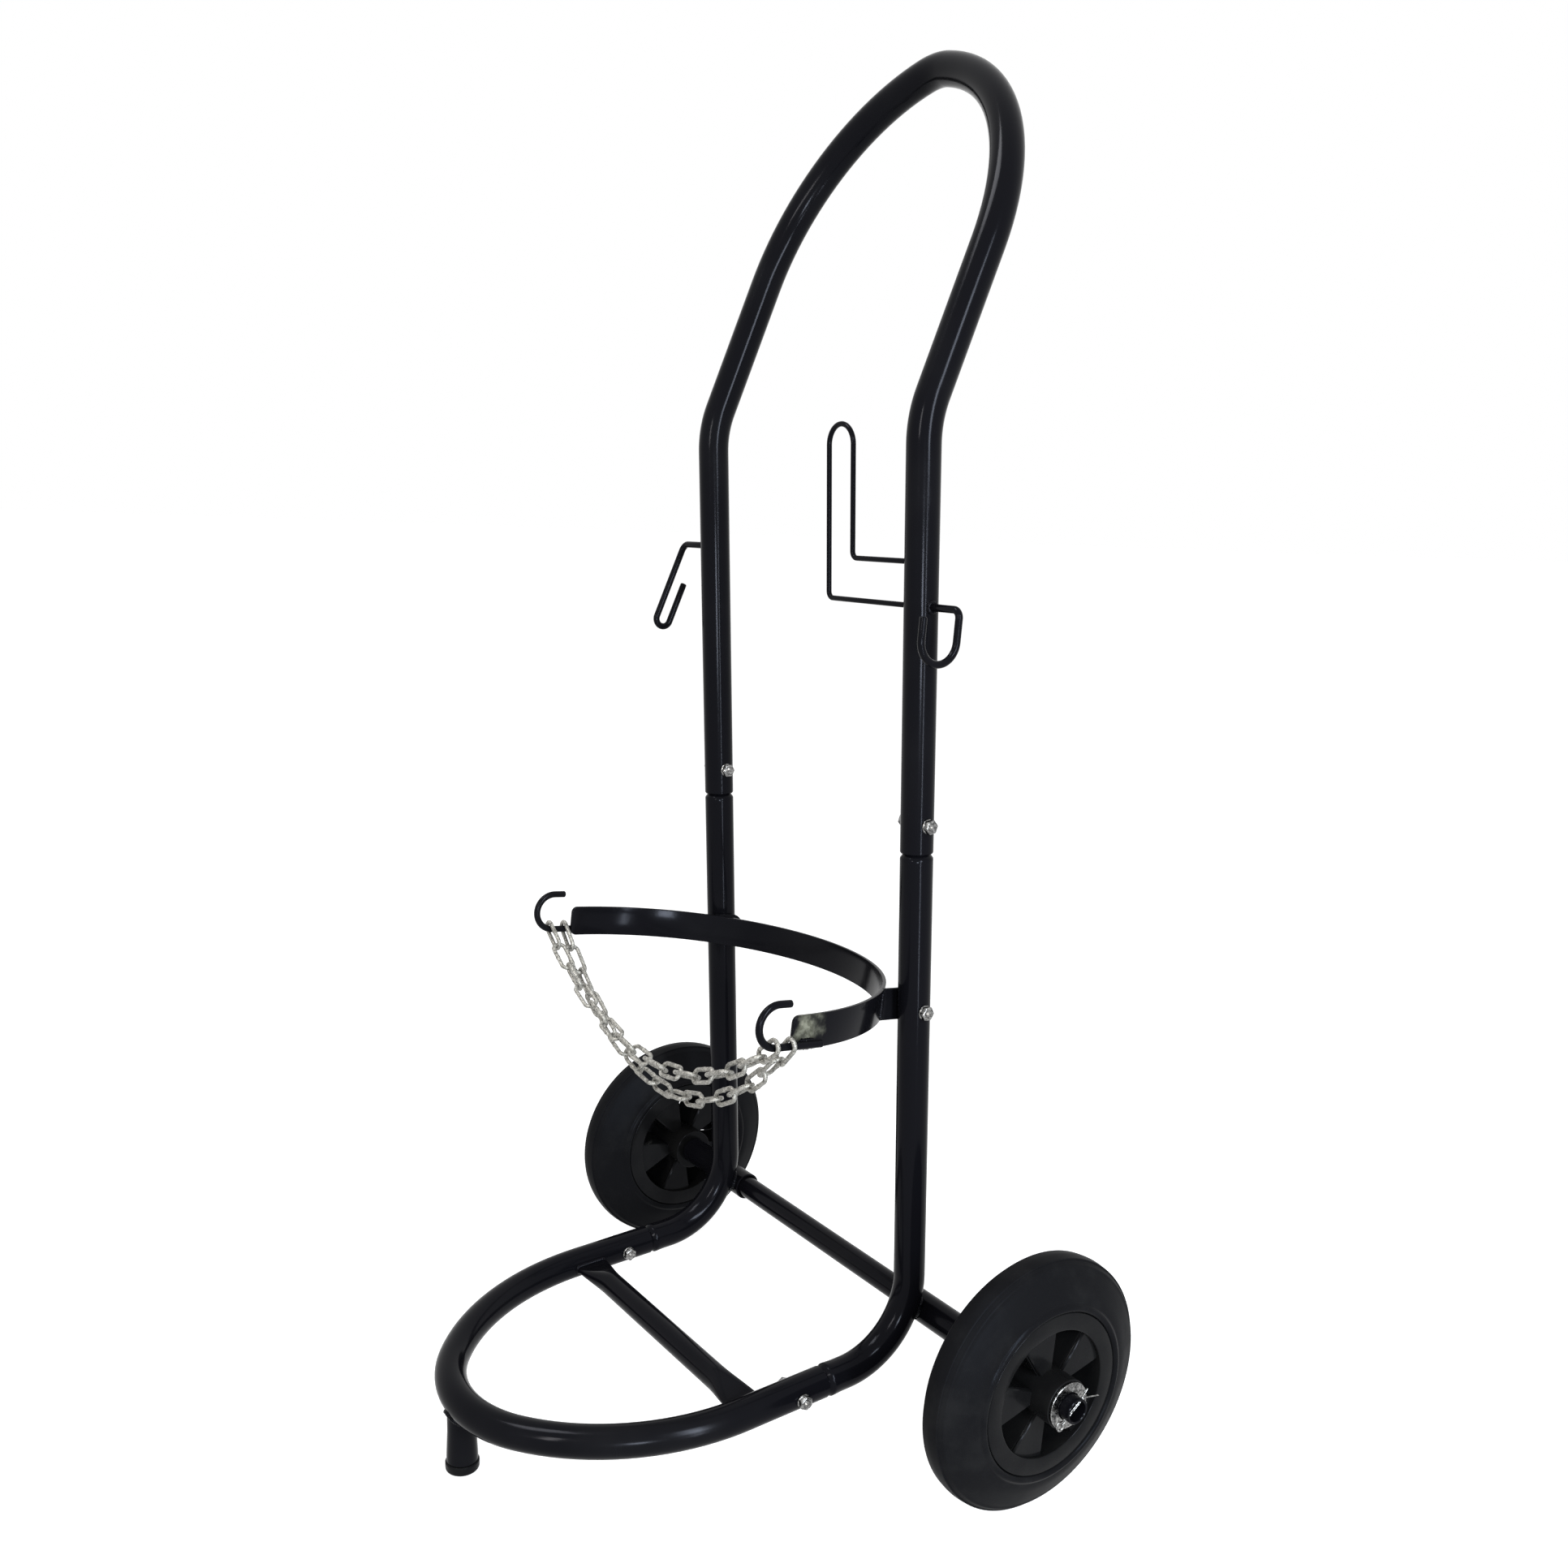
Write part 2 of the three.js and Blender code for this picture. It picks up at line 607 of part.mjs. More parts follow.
/** A half ring of flat bar, open to the front. */
function bandRing() {
  const outer = bandRadius + bandThickness / 2;
  const inner = bandRadius - bandThickness / 2;
  const outline = new THREE.Shape();
  outline.moveTo(outer, bandEndY);
  outline.absarc(0, -bandReach, outer, 0, Math.PI, false);
  outline.lineTo(-outer, bandEndY);
  outline.lineTo(-inner, bandEndY);
  outline.absarc(0, -bandReach, inner, Math.PI, 0, true);
  outline.lineTo(inner, bandEndY);
  const flat = { depth: bandHeight, bevelEnabled: false, curveSegments: tubeSides };
  return solid(new THREE.ExtrudeGeometry(outline, flat)
    .translate(0, 0, -bandHeight / 2));
}

/** What rounding takes off one corner of the band's ends. */
function bandCorner(up) {
  const corner = new THREE.Shape();
  corner.moveTo(-overrun, -overrun);
  corner.lineTo(bandCornerRadius, -overrun);
  corner.lineTo(bandCornerRadius, 0);
  corner.absarc(bandCornerRadius, bandCornerRadius, bandCornerRadius, -Math.PI / 2, -Math.PI, true);
  corner.lineTo(-overrun, bandCornerRadius);
  const depth = 2 * (bandRadius + bandThickness);
  const cutter = new THREE.ExtrudeGeometry(corner, { depth, bevelEnabled: false, curveSegments: 3 })
    .rotateX(Math.PI / 2).rotateZ(Math.PI / 2).translate(depth / 2, 0, 0);
  if (up) cutter.rotateY(Math.PI);
  return solid(cutter.translate(0, bandEndY, (up ? 1 : -1) * bandHeight / 2));
}
const ring = bandRing().subtract(bandCorner(false)).subtract(bandCorner(true));
piece(band, 'cylinder_band', ring, blackCoat());

// Brackets: flat plates against the inner sides of the posts, welded to the ring

const bracketOuter = postFace - fit;
const bracketMiddle = bracketOuter - bandThickness / 2;
const ringAtBracket = bandReach - Math.sqrt(bandRadius ** 2 - bracketMiddle ** 2);
for (const { side, x } of sides) {
  const sign = Math.sign(x);
  const half = bandHeight / 2;
  const outline = new THREE.Shape();
  outline.moveTo(ringAtBracket + bandHeight, -half);
  outline.lineTo(ringAtBracket + bandHeight, half);
  outline.lineTo(-bracketTail + half, half);
  outline.absarc(-bracketTail + half, 0, half, Math.PI / 2, -Math.PI / 2, false);
  const flat = { depth: bandThickness, bevelEnabled: false, curveSegments: rodSides / 2 };
  const plate = solid(new THREE.ExtrudeGeometry(outline, flat)
    .rotateX(Math.PI / 2).rotateZ(-Math.PI / 2).translate(sign * bracketMiddle + bandThickness / 2, 0, 0));
  const beyondRing = solid(new THREE.CylinderGeometry(
    bandRadius + bandThickness / 2 + fit, bandRadius + bandThickness / 2 + fit, bandHeight + 2 * overrun, wheelSides * 2)
    .rotateX(Math.PI / 2).translate(0, -bandReach, 0));
  const hole = boltHole(sign * bracketMiddle - bandThickness, sign * bracketMiddle + bandThickness, 0, 0);
  piece(band, `${side}_band_bracket`, plate.subtract(beyondRing).subtract(hole), blackCoat());
  const plateSpan = bandThickness + fit;
  const [low, high] = sign < 0 ? [0, plateSpan] : [plateSpan, 0];
  boltAndNut(frame, `${side}_band`, x - tubeRadius - low, x + tubeRadius + high, postY, bandBoltHeight);
}

// Chain hooks: round rod along the band's lower edge that curls up and back

const hookX = bandRadius + bandThickness / 2 + fit + hookRodDiameter / 2;
const hookZ = hookEdgeOffset - bandHeight / 2;
for (const { side, x } of sides) {
  const line = new BentLine(at(Math.sign(x) * hookX, bandEndY + hookWeldLength, hookZ), Y.clone().negate())
    .run(hookWeldLength + hookGap)
    .bend(hookRadius, 180, X.clone().negate())
    .run(hookTip);
  piece(band, `${side}_chain_hook`, rod(line, hookRodDiameter / 2), blackCoat());
}

// Chain: links in a hanging curve, sunk into each other where they bear

/** Places evenly along a chain of a given length that hangs from two level points. */
function hangingLine(span, length, count) {
  let [low, high] = [span / 20, span * 20];
  for (let i = 0; i < 60; i++) {
    const middle = (low + high) / 2;
    if (2 * middle * Math.sinh(span / 2 / middle) > length) low = middle;
    else high = middle;
  }
  const sag = Math.hypot(low, length / 2);
  return Array.from({ length: count + 1 }, (_, i) => {
    const along = length * (i / count - 0.5);
    return [low * Math.asinh(along / low), Math.hypot(low, along) - sag];
  });
}

/** One link, long along X and flat across Z. */
function linkShape() {
  const bow = (linkInnerWidth + linkWire) / 2;
  const stretch = (linkPitch - linkBite) / 2 - linkInnerWidth / 2 * Math.cos(Math.PI / linkBowSteps);
  const geometry = new THREE.TorusGeometry(bow, linkWire / 2, linkSides, linkBowSteps).rotateZ(Math.PI / linkBowSteps);
  const place = geometry.attributes.position;
  for (let i = 0; i < place.count; i++) place.setX(i, place.getX(i) + Math.sign(place.getX(i)) * stretch);
  return geometry;
}

/** Hangs one strand from the hooks' rods, at a distance in front of the band's ends. */
function chainStrand(name, setback, count) {
  trolley.updateMatrixWorld(true);
  const pastStraight = Math.max(0, setback + linkWire / 2 - hookGap);
  const rise = hookRadius - Math.sqrt(hookRadius ** 2 - pastStraight ** 2);
  const rodPlace = band.localToWorld(at(hookX, bandEndY - setback, hookZ + rise));
  const seat = hookRodDiameter / 2 + linkWire / 2 + fit;
  const length = count * linkPitch;
  const slope = (places) => Math.atan2(places.at(-1)[1] - places.at(-2)[1], places.at(-1)[0] - places.at(-2)[0]);
  let span = 2 * rodPlace.x;
  for (let i = 0; i < 20; i++) span = 2 * (rodPlace.x + seat * Math.cos(slope(hangingLine(span, length, count))));
  const places = hangingLine(span, length, count);
  const top = rodPlace.z + seat * Math.sin(slope(places));
  const rollStep = Math.PI * Math.ceil((count - 1) / 2) / (count - 1);
  let strand = null;
  for (let i = 0; i < count; i++) {
    const [[x0, z0], [x1, z1]] = [places[i], places[i + 1]];
    const link = solid(linkShape().rotateX(Math.PI / 2 + i * rollStep)
      .rotateY(-Math.atan2(z1 - z0, x1 - x0))
      .translate((x0 + x1) / 2, 0, top + (z0 + z1) / 2));
    strand = strand ? strand.add(link) : link;
  }
  piece(trolley, name, strand, zinc()).position.y = rodPlace.y;
}
chainStrand('front_chain_strand', strandSetback + strandSpacing, frontStrandLinks);
chainStrand('rear_chain_strand', strandSetback, rearStrandLinks);

// Hose hooks: bent rod welded to the outer sides of the posts

/** A hook in a plane along the rails: stub, leg, U and return, opening to the rear or to the front. */
function hoseHook(name, x, stub, height, tilt, leg, width, back, opensTo) {
  const sign = Math.sign(x);
  const stubX = sign * (postX + tubeRadius + fit);
  const legHeading = at(0, -Math.sin(radians(tilt)), -Math.cos(radians(tilt)));
  const stubAxis = new THREE.Vector3().crossVectors(X.clone().multiplyScalar(sign), legHeading).normalize();
  const line = new BentLine(at(stubX, postY, height), X.clone().multiplyScalar(sign))
    .run(stub - hoseBend)
    .bend(hoseBend, 90, stubAxis)
    .run(leg - hoseBend)
    .bend(width / 2, 180, X.clone().multiplyScalar(opensTo))
    .run(back);
  const collarEnds = [stubX, stubX + sign * weldCollarLength].toSorted((a, b) => a - b);
  const collar = alongX(...collarEnds,
    postY, height, weldCollarDiameter / 2, 0, rodSides);
  piece(frame, name, rod(line, hoseRodDiameter / 2).add(collar), blackCoat());
}
hoseHook('left_hose_hook', -postX, leftHookStub, leftHookHeight,
  leftHookTilt, leftHookLeg, leftHookWidth, leftHookReturn, 1);
hoseHook('right_hose_hook', postX, rightHookStub, rightHookHeight,
  rightHookTilt, rightHookLeg, rightHookWidth, rightHookReturn, -1);

// Torch holder: one wire that leaves the right post, rises, turns over and comes back lower down

const holderX = postFace - fit;
const holderTurn = holderGap / 2;
const holderLine = new BentLine(at(holderX, postY, holderHighHeight), X.clone().negate())
  .run(holderInnerReach - holderBend)
  .bend(holderBend, 90, Y)
  .run(holderTopHeight - holderTurn - holderHighHeight - holderBend)
  .bend(holderTurn, 180, Y.clone().negate())
  .run(holderTopHeight - holderTurn - holderLowHeight - holderBend)
  .bend(holderBend, 90, Y.clone().negate())
  .run(holderInnerReach + holderGap - holderBend);
piece(frame, 'torch_holder', rod(holderLine, holderWire / 2), blackCoat());

export default trolley;
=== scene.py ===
"""Dresses the gas cylinder trolley for a studio picture.

The trolley stands as its CAD model does: metres, +Z up, -Y to the front, +X to the right. Sizes
are written in millimetres and degrees, as on a workshop drawing, and MM turns them into metres.
"""

from __future__ import annotations

import logging
import random
from bisect import bisect_left
from collections.abc import Callable, Iterator, Sequence
from contextlib import contextmanager
from dataclasses import dataclass
from enum import Enum
from itertools import accumulate
from math import (acos, asinh, atan2, ceil, copysign, cos, degrees, hypot, pi, radians, sin, sinh, sqrt,
                  tan, tau)

import bmesh
import bpy
from bpy.types import Material, Node, NodeSocket, NodeTree, Object
from mathutils import Matrix, Vector

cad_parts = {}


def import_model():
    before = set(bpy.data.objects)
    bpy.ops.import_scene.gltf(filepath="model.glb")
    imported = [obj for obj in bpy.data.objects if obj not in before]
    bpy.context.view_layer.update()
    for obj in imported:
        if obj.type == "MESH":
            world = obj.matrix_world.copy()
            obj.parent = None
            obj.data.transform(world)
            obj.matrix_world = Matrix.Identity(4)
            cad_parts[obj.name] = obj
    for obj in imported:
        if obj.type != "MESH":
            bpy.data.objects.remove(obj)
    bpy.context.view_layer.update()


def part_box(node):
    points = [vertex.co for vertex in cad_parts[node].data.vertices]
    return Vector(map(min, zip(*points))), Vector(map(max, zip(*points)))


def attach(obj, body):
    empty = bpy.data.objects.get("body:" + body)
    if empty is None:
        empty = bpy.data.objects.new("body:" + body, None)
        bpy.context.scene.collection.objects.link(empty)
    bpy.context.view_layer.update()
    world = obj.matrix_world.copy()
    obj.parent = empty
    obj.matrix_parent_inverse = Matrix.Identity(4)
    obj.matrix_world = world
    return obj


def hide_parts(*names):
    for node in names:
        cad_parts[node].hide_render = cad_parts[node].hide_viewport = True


LOG = logging.getLogger("trolley")
MM = 0.001
X, Y, Z = Vector((1, 0, 0)), Vector((0, 1, 0)), Vector((0, 0, 1))
ORIGIN = Vector((0, 0, 0))
WHITE = (1, 1, 1, 1)
COLOUR_MIX_INPUTS, COLOUR_MIX_OUTPUT = (0, 6, 7), 2
COOL, WARM, NEUTRAL = (0.86, 0.93, 1), (1, 0.95, 0.88), (1, 1, 1)
BLUISH_GLOSS = (0.86, 0.88, 1, 1)
# The tyre's flank as (radius, half width), from the bead over the shoulder ribs to the tread
TYRE_FLANK = (
    (64.0, 21.2), (64.3, 22.5), (65.0, 23.4), (66.0, 23.9), (67.0, 24.0), (68.0, 23.8), (68.9, 23.2),
    (69.6, 22.4), (70.3, 21.9), (71.2, 21.8), (72.4, 21.6), (76.0, 20.6), (80.0, 18.8), (84.0, 16.9),
    (88.0, 15.0), (92.0, 12.9), (94.2, 11.6), (94.9, 11.5), (95.5, 11.1), (96.0, 10.3), (97.0, 9.1),
    (97.7, 8.1), (98.0, 7.7), (98.5, 7.8), (99.1, 7.4), (99.3, 6.5), (99.4, 5.6), (99.7, 3.6), (99.9, 1.8))


class Body(Enum):
    """The bodies of the CAD model that pieces ride on."""

    FRAME = "frame"
    LEFT_WHEEL = "left_wheel"
    RIGHT_WHEEL = "right_wheel"
    FRONT_CHAIN = "front_chain"
    REAR_CHAIN = "rear_chain"


class Slot(Enum):
    """The material slots, each with a finish of its own."""

    COAT = "black_powder_coat"
    TYRE = "tyre_rubber"
    HUB = "hub_plastic"
    CAP = "cap_plastic"
    ZINC = "zinc_plated_steel"
    CHAIN = "galvanised_chain"


class Side(Enum):
    """The trolley's two sides, with the sign of their X."""

    LEFT = -1
    RIGHT = 1

    @property
    def word(self) -> str:
        """The side's name as the CAD nodes spell it."""
        return self.name.lower()


# Operators on the bench


def deselect() -> None:
    """Leaves edit mode and clears the selection, so that an operator acts on nothing old."""
    active = bpy.context.view_layer.objects.active
    if active is not None and active.mode != "OBJECT":
        bpy.ops.object.mode_set(mode="OBJECT")
    bpy.ops.object.select_all(action="DESELECT")


def take(piece: Object) -> None:
    """Selects one piece alone and makes it active.

    Args:
        piece: The piece.
    """
    deselect()
    piece.select_set(True)
    bpy.context.view_layer.objects.active = piece


@contextmanager
def editing(piece: Object) -> Iterator[None]:
    """Opens a piece in edit mode with all of it selected, and closes it again.

    Args:
        piece: The piece.

    Yields:
        Nothing, while the piece is open.
    """
    take(piece)
    bpy.ops.object.mode_set(mode="EDIT")
    bpy.ops.mesh.select_all(action="SELECT")
    yield
    bpy.ops.object.mode_set(mode="OBJECT")


def pick(piece: Object, kind: str, test: Callable[..., bool]) -> None:
    """Selects parts of a piece that is open in edit mode.

    Args:
        piece: The piece in edit mode.
        kind: "VERT", "EDGE" or "FACE".
        test: Says of one vertex, edge or face whether it is selected.
    """
    bpy.ops.mesh.select_all(action="DESELECT")
    bpy.ops.mesh.select_mode(type=kind)
    mesh = bmesh.from_edit_mesh(piece.data)
    parts = {"VERT": mesh.verts, "EDGE": mesh.edges, "FACE": mesh.faces}[kind]
    for part in parts:
        part.select_set(test(part))
    mesh.select_flush_mode()
    bmesh.update_edit_mesh(piece.data)


def named(name: str) -> Object:
    """Names the primitive that was just added and applies its place to its mesh.

    Args:
        name: Its name.

    Returns:
        The primitive.
    """
    piece = bpy.context.object
    piece.name = name
    bpy.ops.object.transform_apply(location=True, rotation=True, scale=True)
    return piece


def pull(way: Vector) -> None:
    """Extrudes what is selected in edit mode by a vector in millimetres."""
    bpy.ops.mesh.extrude_region_move(TRANSFORM_OT_translate={"value": way * MM})


def sheet(name: str, width: float, depth: float, axis: str, spot: Vector) -> Object:
    """A flat rectangle, stood on edge.

    Args:
        name: Its name.
        width: Its size along X before it is stood up.
        depth: Its size along Y before that.
        axis: "X" or "Y", the axis it is stood up about.
        spot: Its middle, in millimetres.

    Returns:
        The rectangle.
    """
    deselect()
    bpy.ops.mesh.primitive_plane_add(size=1)
    piece = named(name)
    with editing(piece):
        bpy.ops.transform.resize(value=(width * MM, depth * MM, 1), center_override=ORIGIN)
        bpy.ops.transform.rotate(value=pi / 2, orient_axis=axis, center_override=ORIGIN)
        bpy.ops.transform.translate(value=spot * MM)
    return piece


def tidy(piece: Object, gap: float = 0.002) -> Object:
    """Merges doubles, fills open ends and turns all faces outwards.

    Args:
        piece: The piece to close.
        gap: How near points are merged, in millimetres.

    Returns:
        The same piece.
    """
    with editing(piece):
        bpy.ops.mesh.remove_doubles(threshold=gap * MM)
        bpy.ops.mesh.fill_holes(sides=0)
        bpy.ops.mesh.select_all(action="SELECT")
        bpy.ops.mesh.normals_make_consistent(inside=False)
    return piece


def modify(piece: Object, kind: str, **settings: object) -> Object:
    """Gives a piece a modifier and applies it.

    Args:
        piece: The piece to finish.
        kind: The modifier's type.
        **settings: The modifier's own settings.

    Returns:
        The same piece.
    """
    take(piece)
    modifier = piece.modifiers.new(kind.title(), kind)
    for setting, value in settings.items():
        setattr(modifier, setting, value)
    bpy.ops.object.modifier_apply(modifier=modifier.name)
    return piece


def soften(piece: Object, width: float, segments: int = 2, angle: float = 35) -> Object:
    """Rounds the sharp edges of a piece by a width in millimetres."""
    return modify(piece, "BEVEL", width=width * MM, segments=segments, limit_method="ANGLE",
                  angle_limit=radians(angle), use_clamp_overlap=True)


def lay(piece: Object, place: Matrix) -> Object:
    """Moves a piece to its place and applies that to its mesh, so its object stays at the origin.

    Args:
        piece: The piece.
        place: Its place in the trolley's frame.

    Returns:
        The same piece.
    """
    take(piece)
    piece.matrix_world = place
    bpy.ops.object.transform_apply(location=True, rotation=True, scale=True)
    return piece


def copy_of(piece: Object, name: str) -> Object:
    """A copy of a piece with a mesh of its own.

    Args:
        piece: What is copied.
        name: The copy's name.

    Returns:
        The copy.
    """
    twin = piece.copy()
    twin.data = piece.data.copy()
    twin.name = name
    bpy.context.scene.collection.objects.link(twin)
    return twin


def join(name: str, pieces: Sequence[Object]) -> Object:
    """Joins pieces into the first of them.

    Args:
        name: The joined piece's name.
        pieces: What is joined.

    Returns:
        The joined piece.
    """
    take(pieces[0])
    for piece in pieces[1:]:
        piece.select_set(True)
    if len(pieces) > 1:
        bpy.ops.object.join()
    pieces[0].name = name
    return pieces[0]


class Stock:
    """Round stock on the bender: a ring of edges that is run, bent and stepped into a skin."""

    def __init__(self, name: str, start: Vector, heading: Vector, radius: float, sides: int = 40) -> None:
        """Puts the first ring in place.

        Args:
            name: The piece's name.
            start: The ring's centre, in millimetres.
            heading: Where the stock goes from there.
            radius: The ring's radius, in millimetres.
            sides: How many edges go round.
        """
        deselect()
        bpy.ops.mesh.primitive_circle_add(
            vertices=sides, radius=radius * MM, location=Vector(start) * MM,
            rotation=heading.to_track_quat("Z", "X").to_euler())
        self.piece = named(name)
        bpy.ops.object.mode_set(mode="EDIT")
        bpy.ops.mesh.select_all(action="SELECT")
        self.place, self.heading, self.radius = Vector(start), heading.normalized(), radius

    def run(self, length: float) -> Stock:
        """Goes straight on by a length.

        Args:
            length: The length, in millimetres.

        Returns:
            The same stock.
        """
        pull(self.heading * length)
        self.place += self.heading * length
        return self

    def bend(self, radius: float, angle: float, axis: Vector, step: float = 3) -> Stock:
        """Bends on a circle by the right-hand rule.

        Args:
            radius: The radius of the centre line.
            angle: How far the stock turns, in degrees.
            axis: What it turns about, square to the heading.
            step: The largest turn between two rings, in degrees.

        Returns:
            The same stock.
        """
        centre = self.place + axis.cross(self.heading) * radius
        turn = Matrix.Rotation(radians(angle), 3, axis)
        bpy.ops.mesh.spin(steps=max(2, ceil(angle / step)), angle=-radians(angle),
                          center=centre * MM, axis=axis)
        self.place = centre + turn @ (self.place - centre)
        self.heading = turn @ self.heading
        return self

    def steps(self, rings: Sequence[tuple[float, float]]) -> Stock:
        """Goes on over rings of other radii.

        Args:
            rings: Each ring's advance from the last one, and its radius.

        Returns:
            The same stock.
        """
        for advance, radius in rings:
            self.run(advance)
            bpy.ops.transform.resize(value=(radius / self.radius,) * 3, center_override=self.place * MM)
            self.radius = radius
        return self

    def mouth(self, wall: float, depth: float, lip: float = 0.4) -> Stock:
        """Ends the stock in an open mouth with a rounded lip."""
        return self.steps([(lip, self.radius - lip), (0, self.radius - wall + lip),
                           (-lip, self.radius - wall), (-depth, self.radius - wall)])

    def done(self) -> Object:
        """Leaves edit mode and closes the skin."""
        bpy.ops.object.mode_set(mode="OBJECT")
        return tidy(self.piece)


def from_mouth(name: str, start: Vector, heading: Vector, radius: float, wall: float, depth: float,
               lip: float = 0.4) -> Stock:
    """Starts a tube at an open mouth.

    Args:
        name: The piece's name.
        start: The mouth's centre.
        heading: Into the tube.
        radius: The tube's outer radius.
        wall: The tube's wall.
        depth: How far the bore is modelled.
        lip: The rounding of the mouth's edges.

    Returns:
        The stock, ready to run on.
    """
    stock = Stock(name, start + heading.normalized() * depth, heading, radius - wall)
    return stock.steps([(lip - depth, radius - wall), (-lip, radius - wall + lip),
                        (0, radius - lip), (lip, radius)])


def from_tip(name: str, start: Vector, heading: Vector, radius: float, edge: float, sides: int = 20) -> Stock:
    """Starts a rod at a cut end whose edge is rounded by a given radius.

    Args:
        name: The piece's name.
        start: The end's centre.
        heading: Into the rod.
        radius: The rod's radius.
        edge: The rounding of the end's edge.
        sides: How many edges go round.

    Returns:
        The stock, ready to run on.
    """
    stock = Stock(name, start, heading, radius - edge, sides)
    return stock.steps([(edge * 0.13, radius - edge * 0.5), (edge * 0.37, radius - edge * 0.13),
                        (edge * 0.5, radius)])


def to_tip(stock: Stock, length: float, edge: float) -> Stock:
    """Runs a rod to its cut end and rounds the edge there.

    Args:
        stock: The rod.
        length: How far on the end is.
        edge: The rounding of the end's edge.

    Returns:
        The same stock.
    """
    radius = stock.radius
    return stock.run(length - edge).steps([(edge * 0.5, radius - edge * 0.13),
                                           (edge * 0.37, radius - edge * 0.5), (edge * 0.13, radius - edge)])


def turned(name: str, profile: Sequence[tuple[float, float]], axis: Vector, sides: int = 64) -> Object:
    """Turns a profile on the lathe.

    Args:
        name: The piece's name.
        profile: Points as (radius, place along the axis), in millimetres. It closes on itself
            or runs from axis to axis.
        axis: X or Z.
        sides: How many steps go round.

    Returns:
        The turned piece.
    """
    arm = Z if axis is X else X
    points = [arm * radius + axis * along for radius, along in profile]
    deselect()
    bpy.ops.mesh.primitive_plane_add(size=MM)
    piece = named(name)
    with editing(piece):
        bpy.ops.mesh.select_mode(type="VERT")
        bpy.ops.mesh.merge(type="CENTER")
        bpy.ops.transform.translate(value=points[0] * MM)
        for here, there in zip(points, points[1:]):
            pull(there - here)
        bpy.ops.mesh.select_all(action="SELECT")
        bpy.ops.mesh.spin(steps=sides, angle=tau, center=ORIGIN, axis=axis)
    return tidy(piece)


@dataclass(frozen=True)
class Weld:
    """A kind of weld, whose seed keeps its drops the same in each run.

    The length of a drop, its unevenness, the dip between two drops and the size at an open end
    are shares of the bead's radius. The fineness is the distance between two rings.
    """

    radius: float
    seed: int
    drop: float = 0.95
    unevenness: float = 0.14
    dip: float = 0.2
    end: float = 0.35
    fineness: float = 0.45


def bead(name: str, path: Sequence[Vector], weld: Weld, nth: int = 0, closed: bool = True) -> Object:
    """A weld bead: a ripple of overlapping drops along a path.

    Args:
        name: The bead's name.
        path: Points in millimetres.
        weld: The kind of weld.
        nth: Which of its kind it is, so that no two have the same drops.
        closed: Whether the bead runs back into its start.

    Returns:
        The bead as a closed mesh.
    """
    reach = list(accumulate(((b - a).length for a, b in zip(path, path[1:])), initial=0.0))
    length, chance = reach[-1], random.Random(weld.seed + nth)
    count = max(3, round(length / (weld.radius * weld.drop)))
    sizes = [chance.uniform(1 - weld.unevenness, 1 + weld.unevenness) for _ in range(count + 1)]
    deselect()
    bpy.ops.curve.primitive_nurbs_path_add()
    piece = bpy.context.object
    curve = piece.data
    curve.splines.clear()
    spline = curve.splines.new("POLY")
    rings = max(12, round(length / weld.fineness))
    spline.points.add(rings - 1 if closed else rings)
    for i, point in enumerate(spline.points):
        along = length * i / rings
        leg = min(bisect_left(reach, along, 1) - 1, len(path) - 2)
        share = (along - reach[leg]) / max(reach[leg + 1] - reach[leg], 1e-9)
        point.co = (*(path[leg].lerp(path[leg + 1], share) * MM), 1)
        phase = along / length * count
        ripple = 1 - weld.dip * (phase % 1) ** 2
        point.radius = sizes[int(phase) % (count if closed else count + 1)] * ripple
        if not closed:
            to_end = min(along, length - along) / weld.radius
            point.radius *= min(1.0, weld.end + (1 - weld.end) * to_end)
    spline.use_cyclic_u = closed
    curve.dimensions = "3D"
    curve.bevel_depth = weld.radius * MM
    curve.bevel_resolution = 3
    curve.use_fill_caps = not closed
    bpy.ops.object.convert(target="MESH")
    piece = bpy.context.object
    piece.name = name
    return tidy(piece, 0.001)


def saddle(start: Vector, heading: Vector, radius: float, on: Vector, along: Vector, carrier: float,
           points: int = 48) -> list[Vector]:
    """Where round stock meets a straight round carrier.

    Args:
        start: A point on the stock's centre line, outside the carrier.
        heading: Along the stock, into the carrier.
        radius: The radius of the ring around the stock.
        on: A point on the carrier's centre line.
        along: The carrier's direction.
        carrier: The carrier's radius.
        points: How many points go round.

    Returns:
        The closed curve, its last point on its first.
    """
    side = heading.orthogonal().normalized()
    up = heading.cross(side).normalized()
    curve = []
    for i in range(points + 1):
        turn = tau * i / points
        ray = start + (side * cos(turn) + up * sin(turn)) * radius
        across = (ray - on) - along * (ray - on).dot(along)
        into = heading - along * heading.dot(along)
        a, b, c = into.dot(into), 2 * across.dot(into), across.dot(across) - carrier ** 2
        reach = (-b - sqrt(max(b * b - 4 * a * c, 0))) / (2 * a)
        curve.append(ray + heading * reach)
    return curve


# Finishes


def put(tree: NodeTree, socket: NodeSocket, value: object) -> None:
    """Gives a socket a value, or joins an output to it.

    Args:
        tree: The socket's tree.
        socket: The input.
        value: A plain value or an output socket.
    """
    if isinstance(value, NodeSocket):
        tree.links.new(value, socket)
    else:
        socket.default_value = value


def computed(tree: NodeTree, operation: str, *values: object) -> NodeSocket:
    """One sum in a node tree.

    Args:
        tree: The tree it is added to.
        operation: The sum's type.
        *values: Numbers, or output sockets to join to it.

    Returns:
        The sum's output.
    """
    node = tree.nodes.new("ShaderNodeMath")
    node.operation = operation
    for socket, value in zip(node.inputs, values):
        put(tree, socket, value)
    return node.outputs[0]


